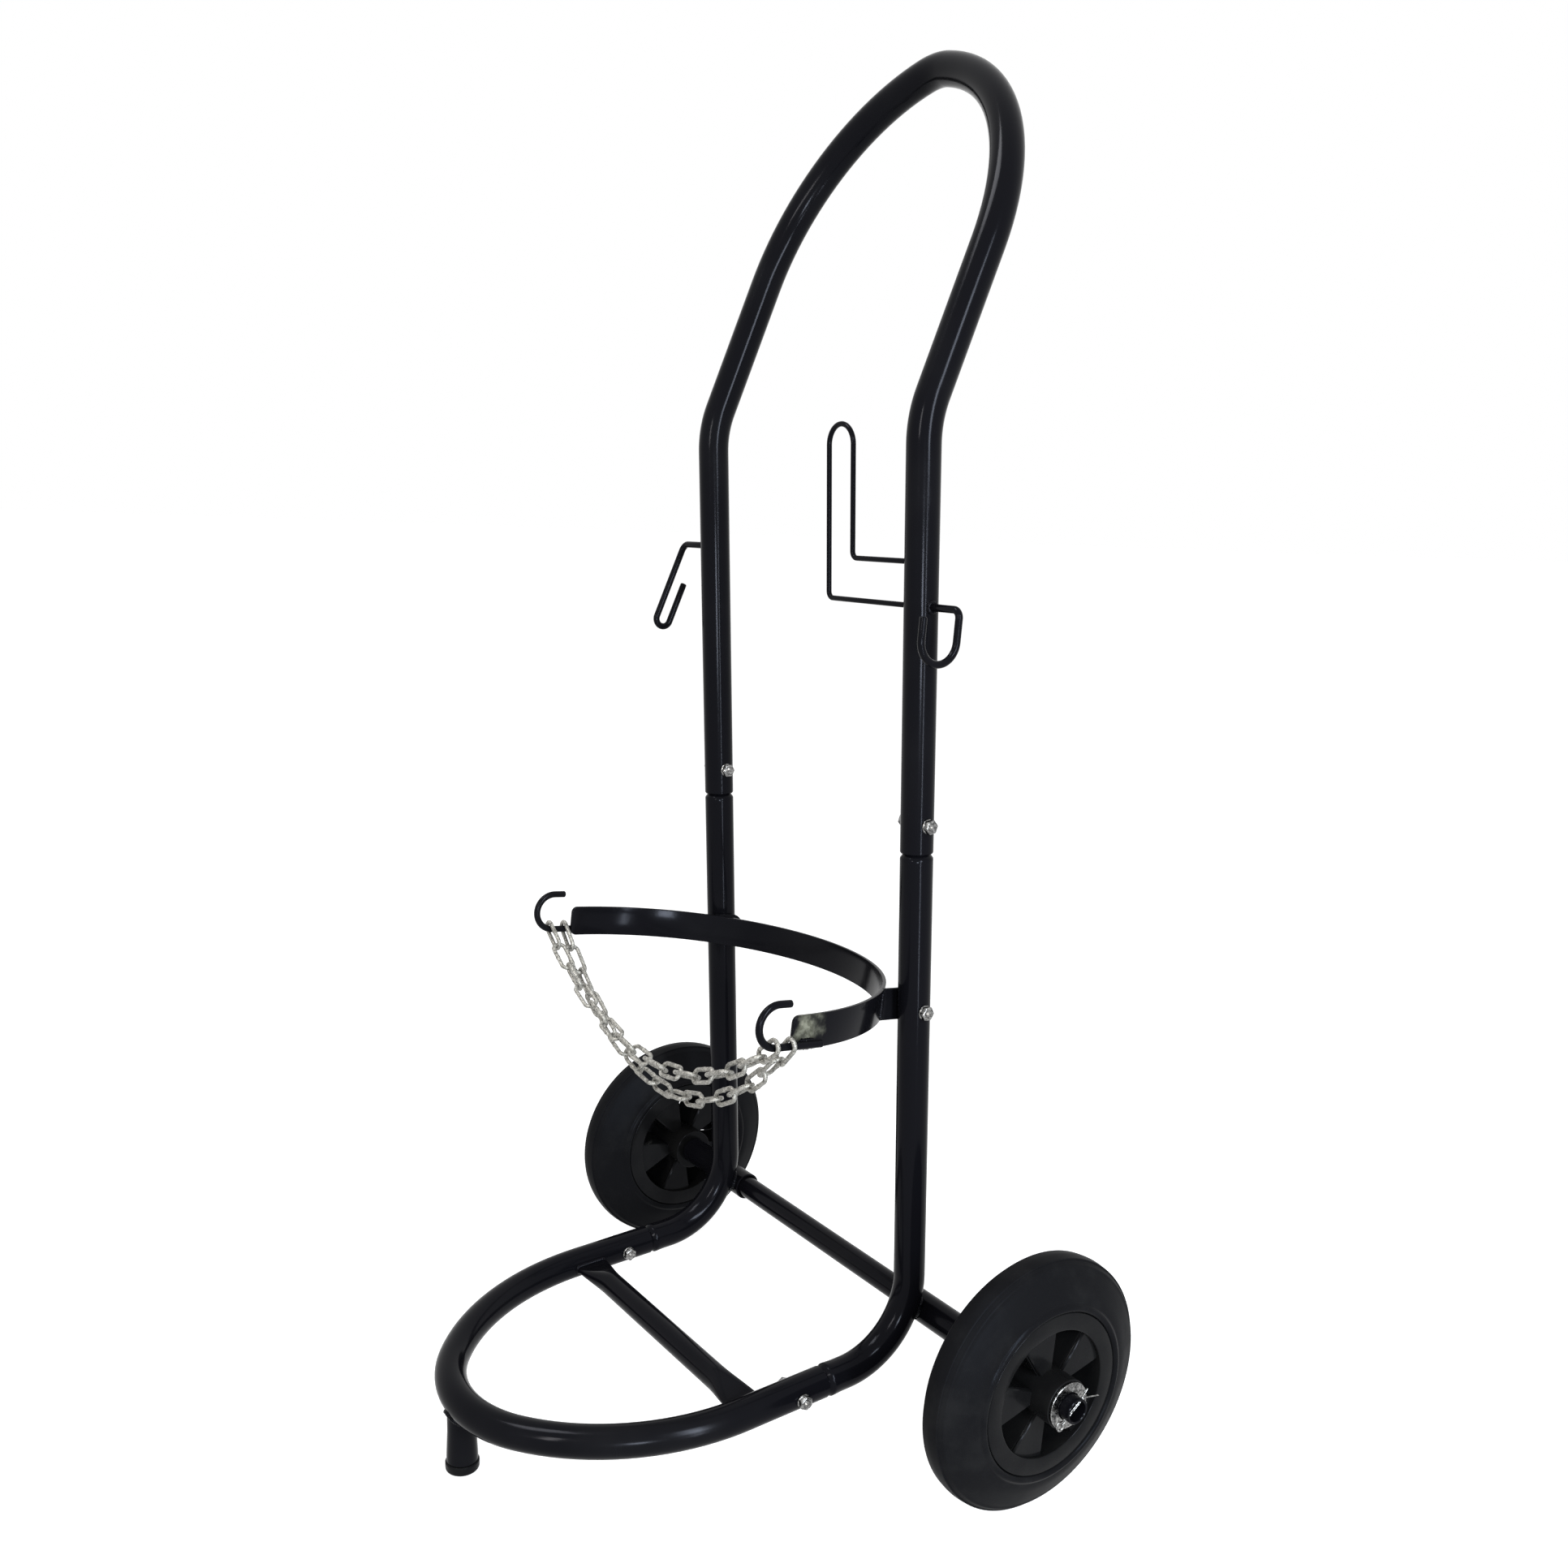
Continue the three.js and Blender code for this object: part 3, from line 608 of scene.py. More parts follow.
class Nodes:
    """A material's node tree, with short calls to add nodes and join them."""

    def __init__(self, name: str) -> None:
        """Starts a material with one shader.

        Args:
            name: The material's name.
        """
        self.material = bpy.data.materials.new(name)
        self.material.use_nodes = True
        self.tree = self.material.node_tree
        self.shader = self.tree.nodes["Principled BSDF"]
        self.places = self.add("ShaderNodeTexCoord").outputs["Object"]

    def add(self, kind: str, values: dict[str, object] | None = None, **settings: object) -> Node:
        """Adds a node.

        Args:
            kind: The node's type.
            values: Socket values, or output sockets to join to them.
            **settings: The node's own settings.

        Returns:
            The node.
        """
        node = self.tree.nodes.new(kind)
        for setting, value in settings.items():
            setattr(node, setting, value)
        for socket, value in (values or {}).items():
            put(self.tree, node.inputs[int(socket) if socket.isdigit() else socket], value)
        return node

    def set(self, **values: object) -> None:
        """Sets the shader's sockets, named with underscores for spaces."""
        for name, value in values.items():
            put(self.tree, self.shader.inputs[name.replace("_", " ")], value)

    def noise(self, scale: float, detail: float = 3, roughness: float = 0.5,
              stretch: Sequence[float] | None = None) -> NodeSocket:
        """Noise from 0 to 1 with a number of features to the metre.

        Args:
            scale: How many features go to the metre.
            detail: How many finer layers are laid over the first.
            roughness: How strong the finer layers are.
            stretch: A scale for each axis.

        Returns:
            The noise.
        """
        vector = self.places
        if stretch is not None:
            vector = self.add("ShaderNodeMapping", {"Vector": vector, "Scale": stretch}).outputs[0]
        return self.add("ShaderNodeTexNoise", {"Vector": vector, "Scale": scale, "Detail": detail,
                                               "Roughness": roughness}).outputs["Fac"]

    def ramp(self, value: NodeSocket, low: float, high: float, start: float, end: float) -> NodeSocket:
        """Maps a span of a value onto another, clamped and smoothed.

        Args:
            value: The value.
            low: Where the span starts.
            high: Where it ends.
            start: What it starts on.
            end: What it ends on.

        Returns:
            The mapped value.
        """
        return self.add("ShaderNodeMapRange", {"Value": value, "From Min": low, "From Max": high,
                                               "To Min": start, "To Max": end},
                        interpolation_type="SMOOTHSTEP").outputs[0]

    def mix(self, share: object, first: object, second: object) -> NodeSocket:
        """Mixes two colours.

        Args:
            share: The second colour's share.
            first: A colour or an output socket.
            second: A colour or an output socket.

        Returns:
            The mixed colour.
        """
        node = self.add("ShaderNodeMix", data_type="RGBA")
        for socket, value in zip(COLOUR_MIX_INPUTS, (share, first, second)):
            put(self.tree, node.inputs[socket], value)
        return node.outputs[COLOUR_MIX_OUTPUT]

    def maths(self, operation: str, *values: object) -> NodeSocket:
        """One sum on up to three values."""
        return computed(self.tree, operation, *values)

    def vectors(self, operation: str, output: str, *values: object) -> NodeSocket:
        """One sum on up to three vectors, with the name of the output that is wanted."""
        inputs = {str(i): value for i, value in enumerate(values)}
        return self.add("ShaderNodeVectorMath", inputs, operation=operation).outputs[output]

    def bump(self, *layers: tuple[NodeSocket, float]) -> None:
        """Raises the surface by layers of height, each with its depth in millimetres.

        Args:
            *layers: Each a height from 0 to 1 and its depth.
        """
        normal = None
        for height, depth in layers:
            values: dict[str, object] = {"Height": height, "Distance": depth * MM, "Strength": 1.0}
            if normal is not None:
                values["Normal"] = normal
            normal = self.add("ShaderNodeBump", values).outputs[0]
        self.set(Normal=normal)


def grey(level: float, tint: Sequence[float] = (1, 1, 1)) -> tuple[float, float, float, float]:
    """A grey with a slight tint."""
    return (*(level * part for part in tint), 1.0)


@dataclass(frozen=True)
class PowderCoat:
    """Gloss black powder coat over steel: a faint orange peel, a haze of dust and fine rubs."""

    name: str = "gloss_black_powder_coat"
    level: float = 0.003
    gloss: float = 0.14
    chafed_at: tuple[float, float, float] | None = None
    chafed_reach: float = 17.0

    def make(self) -> Material:
        """Builds the material, with a chafed patch where one is named.

        Returns:
            The coat.
        """
        nodes = Nodes(self.name)
        haze = nodes.ramp(nodes.noise(9, 4), 0.45, 0.8, 0, 1)
        rubs = nodes.ramp(nodes.noise(160, 6, 0.65, (1, 1, 0.25)), 0.6, 0.78, 0, 1)
        peel = nodes.noise(210, 2)
        grain = nodes.noise(1500, 2)
        colour = nodes.mix(haze, grey(self.level, (1, 1, 1.35)), grey(self.level * 1.9, (1, 1, 1.15)))
        rough = nodes.maths("ADD", nodes.ramp(haze, 0, 1, self.gloss, self.gloss + 0.07),
                            nodes.maths("MULTIPLY", rubs, 0.12))
        if self.chafed_at is not None:
            colour, rough = self.chafe(nodes, colour, rough)
        nodes.set(Base_Color=colour, Roughness=rough, Specular_IOR_Level=0.06, Specular_Tint=BLUISH_GLOSS)
        nodes.bump((peel, 0.018), (grain, 0.002))
        return nodes.material

    def chafe(self, nodes: Nodes, colour: NodeSocket,
              rough: NodeSocket) -> tuple[NodeSocket, NodeSocket]:
        """Lays a worn patch of dust and bared metal over the coat.

        Args:
            nodes: The material's nodes.
            colour: The coat's colour.
            rough: The coat's roughness.

        Returns:
            The colour and the roughness with the patch.
        """
        away = nodes.vectors("DISTANCE", "Value", nodes.places, self.chafed_at)
        ragged = nodes.maths("ADD", away, nodes.ramp(nodes.noise(90, 3, 0.5), 0.3, 0.7, -0.005, 0.005))
        patch = nodes.ramp(ragged, 0, self.chafed_reach * MM, 1, 0)
        dust = nodes.mix(nodes.ramp(nodes.noise(300, 4, 0.6), 0.35, 0.65, 0, 1),
                         (0.09, 0.09, 0.066, 1), (0.18, 0.18, 0.14, 1))
        share = nodes.maths("MULTIPLY", patch, nodes.ramp(nodes.noise(260, 4, 0.6), 0.3, 0.62, 0.75, 1))
        worn = nodes.maths("MULTIPLY_ADD", share, 0.34, rough)
        return nodes.mix(share, colour, dust), worn


@dataclass(frozen=True)
class TyreRubber:
    """Satin black rubber with fine moulding lines that run round the wheel."""

    name: str
    centre: tuple[float, float, float]
    level: float = 0.0055

    def make(self) -> Material:
        """Builds the material around the wheel's centre.

        Returns:
            The rubber.
        """
        nodes = Nodes(self.name)
        arm = nodes.vectors("SUBTRACT", "Vector", nodes.places, self.centre)
        flat = nodes.vectors("MULTIPLY", "Vector", arm, (0, 1, 1))
        radius = nodes.vectors("LENGTH", "Value", flat)
        lines = nodes.maths("SINE", nodes.maths("MULTIPLY", radius, 5200))
        dust = nodes.ramp(nodes.noise(24, 5, 0.6), 0.45, 0.75, 0, 1)
        speck = nodes.ramp(nodes.noise(700, 3), 0.62, 0.75, 0, 1)
        base = nodes.mix(dust, grey(self.level, (1, 1, 1.12)), grey(self.level * 1.7, (1, 1, 1.05)))
        colour = nodes.mix(nodes.maths("MULTIPLY", speck, 0.25), base, grey(0.012))
        bead = nodes.ramp(radius, 0.0705, 0.0735, 0.2, 0.4)
        nodes.set(Base_Color=colour, Roughness=nodes.maths("ADD", bead, nodes.ramp(dust, 0, 1, 0, 0.1)),
                  Specular_IOR_Level=0.02, Specular_Tint=(0.7, 0.8, 1, 1))
        nodes.bump((lines, 0.012), (nodes.noise(1400, 3), 0.02), (nodes.noise(60, 3), 0.12))
        return nodes.material


@dataclass(frozen=True)
class MouldedPlastic:
    """Satin black moulded plastic with a fine spark-eroded grain."""

    name: str
    level: float = 0.0045
    rough: float = 0.14

    def make(self) -> Material:
        """Builds the material.

        Returns:
            The finish.
        """
        nodes = Nodes(self.name)
        cloud = nodes.noise(45, 4)
        blend = nodes.ramp(cloud, 0.3, 0.7, 0, 1)
        colour = nodes.mix(blend, grey(self.level, (1, 1, 1.08)), grey(self.level * 1.5))
        nodes.set(Base_Color=colour, Roughness=nodes.ramp(cloud, 0.3, 0.7, self.rough, self.rough + 0.06),
                  Specular_IOR_Level=0.06, Specular_Tint=BLUISH_GLOSS)
        nodes.bump((nodes.noise(1900, 2), 0.012), (nodes.noise(260, 2), 0.03))
        return nodes.material


@dataclass(frozen=True)
class ZincPlate:
    """Bright zinc plate, clouded and pitted as on cheap fasteners."""

    name: str = "bright_zinc_plate"

    def make(self) -> Material:
        """Builds the material.

        Returns:
            The finish.
        """
        nodes = Nodes(self.name)
        cloud = nodes.noise(520, 5, 0.65)
        pits = nodes.ramp(nodes.noise(1500, 3), 0.56, 0.7, 0, 1)
        plate = nodes.mix(nodes.ramp(cloud, 0.35, 0.66, 0, 1), (0.1, 0.1, 0.1, 1), (0.42, 0.42, 0.415, 1))
        colour = nodes.mix(pits, plate, (0.05, 0.05, 0.05, 1))
        nodes.set(Base_Color=colour, Metallic=1.0, Roughness=nodes.ramp(cloud, 0.3, 0.7, 0.12, 0.3))
        nodes.bump((cloud, 0.06), (pits, 0.03))
        return nodes.material


@dataclass(frozen=True)
class GalvanisedChain:
    """Dull galvanised wire, mottled light and dark and rough to the touch."""

    name: str = "dull_galvanised_chain"

    def make(self) -> Material:
        """Builds the material.

        Returns:
            The finish.
        """
        nodes = Nodes(self.name)
        spangle = nodes.add("ShaderNodeTexVoronoi", {"Vector": nodes.places, "Scale": 620.0}).outputs["Color"]
        flakes = nodes.add("ShaderNodeSeparateColor", {"Color": spangle}).outputs[0]
        cloud = nodes.noise(330, 6, 0.7)
        grit = nodes.ramp(nodes.noise(1100, 4, 0.6), 0.52, 0.64, 0, 1)
        zinc = nodes.mix(nodes.ramp(cloud, 0.36, 0.62, 0, 1),
                         (0.135, 0.13, 0.115, 1), (0.46, 0.447, 0.405, 1))
        bright = nodes.mix(nodes.maths("MULTIPLY", flakes, 0.4), zinc, (0.5, 0.485, 0.45, 1))
        colour = nodes.mix(grit, bright, (0.045, 0.043, 0.038, 1))
        nodes.set(Base_Color=colour, Metallic=0.6, Roughness=nodes.ramp(cloud, 0.3, 0.7, 0.38, 0.6))
        nodes.bump((cloud, 0.16), (grit, 0.06))
        return nodes.material


@dataclass
class Dresser:
    """Finishes each piece: smooth shading, the material of its slot, its body, and the CAD node it stands
    for, which is hidden.
    """

    finishes: dict[Slot, Material]
    count: int = 0

    def finish(self, piece: Object, node: str, slot: Slot = Slot.COAT, body: Body = Body.FRAME,
               material: Material | None = None, smooth: float = 40) -> None:
        """Hands a piece over to the frame.

        Args:
            piece: The finished mesh, in the trolley's own frame.
            node: The CAD node it stands for.
            slot: The material slot whose finish it takes.
            body: The body it rides on.
            material: Its finish, where it isn't the slot's own.
            smooth: The largest angle that is shaded smooth, in degrees.
        """
        take(piece)
        bpy.ops.object.shade_smooth_by_angle(angle=radians(smooth))
        piece.data.materials.clear()
        piece.data.materials.append(material or self.finishes[slot])
        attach(piece, body.value)
        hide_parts(node)
        self.count += 1
        LOG.info("%s stands for %s: %d faces", piece.name, node, len(piece.data.polygons))


# Sizes that more than one sub-assembly needs


@dataclass(frozen=True)
class Plan:
    """The bent frame's own drawing, from the axle's centre with +Z up the posts."""

    tube: float = 12.5
    wall: float = 1.5
    post_x: float = 137.5
    lean: float = 2.5
    rail_drop: float = 28.3
    base_bend: float = 65.0
    upper_joint: float = 380.0
    base_joint: float = 83.5
    neck: float = 9.9
    neck_length: float = 45.0
    shoulder: float = 3.5
    sleeve: float = 12.5
    axle: float = 10.0
    wheel_x: float = 261.3
    band_bolt: float = 261.3
    boss_half: float = 37.0
    fit: float = 0.3

    @property
    def bend_to_axle(self) -> float:
        """From the base bend's centre to the axle's, the sleeve touching the tube's flats."""
        return self.base_bend + (self.tube + self.sleeve) * cos(pi / 12) + self.fit

    @property
    def post_y(self) -> float:
        """The posts' place in front of the axle."""
        return self.base_bend - sqrt(self.bend_to_axle ** 2 - (self.base_bend - self.rail_drop) ** 2)

    @property
    def axle_place(self) -> Vector:
        """The axle's centre in the trolley's frame, in metres."""
        low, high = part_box("axle")
        return (low + high) / 2

    @property
    def frame(self) -> Matrix:
        """The leaning frame's place."""
        return Matrix.Translation(self.axle_place) @ Matrix.Rotation(radians(self.lean), 4, "X")

    def world(self, point: Vector) -> Vector:
        """A point of the leaning frame, in millimetres, in the trolley's frame."""
        return self.frame @ (point * MM) / MM


def arch(half: float, side: float, nose: float) -> float:
    """How far a side arc turns before the nose arc takes over, in degrees."""
    return degrees(acos((side - half) / (side - nose)))


def arch_height(half: float, side: float, nose: float) -> float:
    """The height of an arch of two side arcs and a nose arc."""
    return (side - nose) * sin(radians(arch(half, side, nose))) + nose


# Sub-assemblies


@dataclass
class TubeFrame:
    """The hoop, the two side tubes and the loop, plugged into each other."""

    plan: Plan
    kink: float = 693.0
    kink_angle: float = 25.0
    kink_radius: float = 80.0
    straight: float = 129.0
    hoop_side: float = 164.0
    hoop_crown: float = 55.0
    loop_straight: float = 158.0
    loop_side: float = 183.0
    loop_nose: float = 105.0
    mouth_depth: float = 52.0
    swell: float = 0.35
    shoulder_lead: float = 8.9
    hoop_lip: float = 0.9
    loop_lip: float = 0.7

    def hoop(self) -> Object:
        """The handle hoop, from the left mouth over the arch to the right one.

        Returns:
            The bent tube.
        """
        plan = self.plan
        mouth_z = plan.upper_joint + plan.shoulder
        tangent = self.kink_radius * tan(radians(self.kink_angle / 2))
        lean = radians(self.kink_angle)
        slant = Vector((0, sin(lean), cos(lean)))
        over = slant.cross(X)
        turn = arch(plan.post_x, self.hoop_side, self.hoop_crown)
        stock = from_mouth("handle_hoop_tube", Vector((-plan.post_x, plan.post_y, mouth_z)), Z, plan.tube,
                           plan.wall, self.mouth_depth, self.hoop_lip)
        stock.run(self.kink - tangent - mouth_z - self.hoop_lip).bend(self.kink_radius, self.kink_angle, -X)
        stock.run(self.straight - tangent).bend(self.hoop_side, turn, over)
        stock.bend(self.hoop_crown, 180 - 2 * turn, over).bend(self.hoop_side, turn, over)
        stock.run(self.straight - tangent).bend(self.kink_radius, self.kink_angle, X)
        stock.run(self.kink - tangent - mouth_z - self.hoop_lip)
        stock.mouth(plan.wall, self.mouth_depth, self.hoop_lip)
        return lay(stock.done(), plan.frame)

    def shoulder(self, swell: float) -> list[tuple[float, float]]:
        """The swage from the full tube down to the neck.

        Args:
            swell: How far the tube's end swells before it narrows.

        Returns:
            Steps, each an advance and a radius. The first four, up to the shoulder, make
            the shoulder's lead.
        """
        tube, neck, run = self.plan.tube, self.plan.neck, self.plan.shoulder
        return [(3, tube + swell * 0.6), (3, tube + swell), (2, tube + swell), (0.9, tube - 0.25),
                (run * 0.3, tube - 1.1), (run * 0.35, neck + 0.5), (run * 0.2, neck)]

    def side_tube(self, side: Side) -> Object:
        """One side tube: post, base bend and rail, swaged at both ends.

        Args:
            side: The trolley's side.

        Returns:
            The bent tube.
        """
        plan = self.plan
        x = side.value * plan.post_x
        top = Vector((x, plan.post_y, plan.upper_joint + plan.neck_length))
        stock = from_mouth(f"{side.word}_side_tube_bent", top, -Z, plan.neck, plan.wall, 20)
        advances, radii = zip(*self.shoulder(0)[::-1])
        stock.run(plan.neck_length + self.shoulder_lead - sum(advances) - 0.4)
        stock.steps(list(zip(advances, (*radii[1:], plan.tube))))
        stock.run(plan.upper_joint - self.shoulder_lead + plan.rail_drop - plan.base_bend)
        stock.bend(plan.base_bend, 90, -X)
        stock.run(plan.base_joint - plan.base_bend - self.shoulder_lead)
        stock.steps(self.shoulder(self.swell))
        stock.run(plan.neck_length - plan.shoulder * 0.85 - 0.4).mouth(plan.wall, 20)
        return lay(stock.done(), plan.frame)

    def loop(self) -> Object:
        """The base loop, from the left mouth round the nose to the right one.

        Returns:
            The bent tube.
        """
        plan = self.plan
        mouth = Vector((-plan.post_x, plan.post_y - plan.base_joint - plan.shoulder, -plan.rail_drop))
        run = self.loop_straight - plan.base_joint - plan.shoulder
        turn = arch(plan.post_x, self.loop_side, self.loop_nose)
        lip = self.loop_lip
        stock = from_mouth("base_loop_tube", mouth, -Y, plan.tube, plan.wall, self.mouth_depth, lip)
        stock.run(run - lip).bend(self.loop_side, turn, Z).bend(self.loop_nose, 180 - 2 * turn, Z)
        stock.bend(self.loop_side, turn, Z).run(run - lip).mouth(plan.wall, self.mouth_depth, lip)
        return lay(stock.done(), plan.frame)

    @property
    def nose(self) -> Vector:
        """The middle of the loop's nose, in the trolley's frame."""
        reach = self.loop_straight + arch_height(self.plan.post_x, self.loop_side, self.loop_nose)
        return self.plan.world(Vector((0, self.plan.post_y - reach, -self.plan.rail_drop)))

    def build(self, dresser: Dresser) -> None:
        """Builds and dresses the four tubes.

        Args:
            dresser: Gives each piece its finish.
        """
        dresser.finish(self.hoop(), "handle_hoop")
        dresser.finish(self.loop(), "base_loop")
        for side in Side:
            dresser.finish(self.side_tube(side), f"{side.word}_side_tube")


@dataclass
class Base:
    """The cross bar between the rails, and the foot under the nose."""

    plan: Plan
    nose: Vector
    bar: float = 10.0
    bar_flat: float = 2.0
    bar_press: float = 42.0
    bar_reach: float = 151.0
    press_steps: int = 14
    weld_points: int = 64
    bar_weld: Weld = Weld(1.9, 11)
    foot_weld: Weld = Weld(1.8, 5)
    foot_top: float = 11.0
    foot_bottom: float = 12.0
    cap: float = 13.0
    cap_height: float = 8.0

    def pressed(self, arm: Vector, half_height: float) -> Vector:
        """Moves a point of a round ring onto a flat oval of the same girth.

        Args:
            arm: The point, from the bar's centre line.
            half_height: Half the oval's height.

        Returns:
            The point on the oval.
        """
        flat = pi / 2 * (self.bar - half_height)
        reach = abs(atan2(abs(arm.z), abs(arm.y))) * self.bar
        if reach < pi / 2 * half_height:
            turn = reach / half_height
            along, up = flat + half_height * cos(turn), half_height * sin(turn)
        else:
            along, up = flat + pi / 2 * half_height - reach, half_height
        return Vector((arm.x, copysign(along, arm.y), copysign(up, arm.z)))

    def cross_bar(self) -> Object:
        """The round bar with ends pressed flat, welded to the rails' inner sides.

        Returns:
            The bar with its two welds.
        """
        plan = self.plan
        half = plan.post_x - plan.tube + 0.6
        centre = Vector((0, plan.post_y - self.bar_reach, -plan.rail_drop))
        stock = Stock("base_cross_bar_tube", centre - X * half, X, self.bar, 48)
        short = [self.bar_press / self.press_steps] * self.press_steps
        for length in (*short, 2 * (half - self.bar_press), *short):
            stock.run(length)
        bar = stock.done()
        with editing(bar):
            mesh = bmesh.from_edit_mesh(bar.data)
            for point in mesh.verts:
                arm = point.co / MM - centre
                share = min(1.0, (half - abs(arm.x)) / self.bar_press)
                height = self.bar_flat + (self.bar - self.bar_flat) * share * share * (3 - 2 * share)
                point.co = (centre + self.pressed(arm, height)) * MM
            bmesh.update_edit_mesh(bar.data)
        return join(bar.name, [lay(bar, plan.frame), *(self.bar_bead(side) for side in Side)])

    def bar_bead(self, side: Side) -> Object:
        """The weld around one flat end of the cross bar.

        Args:
            side: The trolley's side.

        Returns:
            The bead.
        """
        plan = self.plan
        centre = Vector((side.value * (plan.post_x - plan.tube - plan.fit), plan.post_y - self.bar_reach,
                         -plan.rail_drop))
        half_width = self.bar_flat + pi / 2 * (self.bar - self.bar_flat) - 1
        path = []
        for i in range(self.weld_points + 1):
            turn = tau * i / self.weld_points
            swing = cos(turn)
            along = swing * 2 + copysign(half_width - 2, swing) * min(1, abs(swing) * 4)
            up = sin(turn) * 2.6
            sink = plan.tube - sqrt(plan.tube ** 2 - up ** 2)
            path.append(centre + Vector((side.value * sink, along, up)))
        return lay(bead(f"{side.word}_bar_bead", path, self.bar_weld, side.value), plan.frame)

    def foot(self) -> Object:
        """The flared foot, welded under the loop's nose.

        Returns:
            The foot with its weld.
        """
        low = self.cap_height + 0.3
        profile = [(0, low), (self.foot_bottom - 0.5, low), (self.foot_bottom, low + 0.5),
                   (self.foot_bottom - 0.1, low + 6), (self.foot_top, low + 26), (self.foot_top, self.nose.z),
                   (0, self.nose.z)]
        tube = lay(turned("front_foot_tube", profile, Z), Matrix.Translation((0, self.nose.y * MM, 0)))
        path = saddle(Vector((0, self.nose.y, 0)), Z, self.foot_top + 0.6,
                      Vector((0, self.nose.y, self.nose.z)), X, self.plan.tube + 0.2)
        return join("front_foot_tube", [tube, bead("foot_bead", path, self.foot_weld)])

    def foot_cap(self) -> Object:
        """The plug cap that the foot stands on.

        Returns:
            The cap.
        """
        rounding = 3.0
        edge = [(self.cap - rounding * (1 - sin(t)), rounding * (1 - cos(t)))
                for t in (radians(15 * i) for i in range(7))]
        profile = [(0, 0), *edge, (self.cap, self.cap_height - 0.8), (self.cap - 0.8, self.cap_height),
                   (9.0, self.cap_height), (9.0, self.cap_height + 6), (0, self.cap_height + 6)]
        return lay(turned("foot_cap_plug", profile, Z), Matrix.Translation((0, self.nose.y * MM, 0)))

    def build(self, dresser: Dresser) -> None:
        """Builds and dresses the cross bar, the foot and its cap.

        Args:
            dresser: Gives each piece its finish.
        """
        dresser.finish(self.cross_bar(), "base_cross_bar")
        dresser.finish(self.foot(), "front_foot")
        dresser.finish(self.foot_cap(), "foot_cap", Slot.CAP)


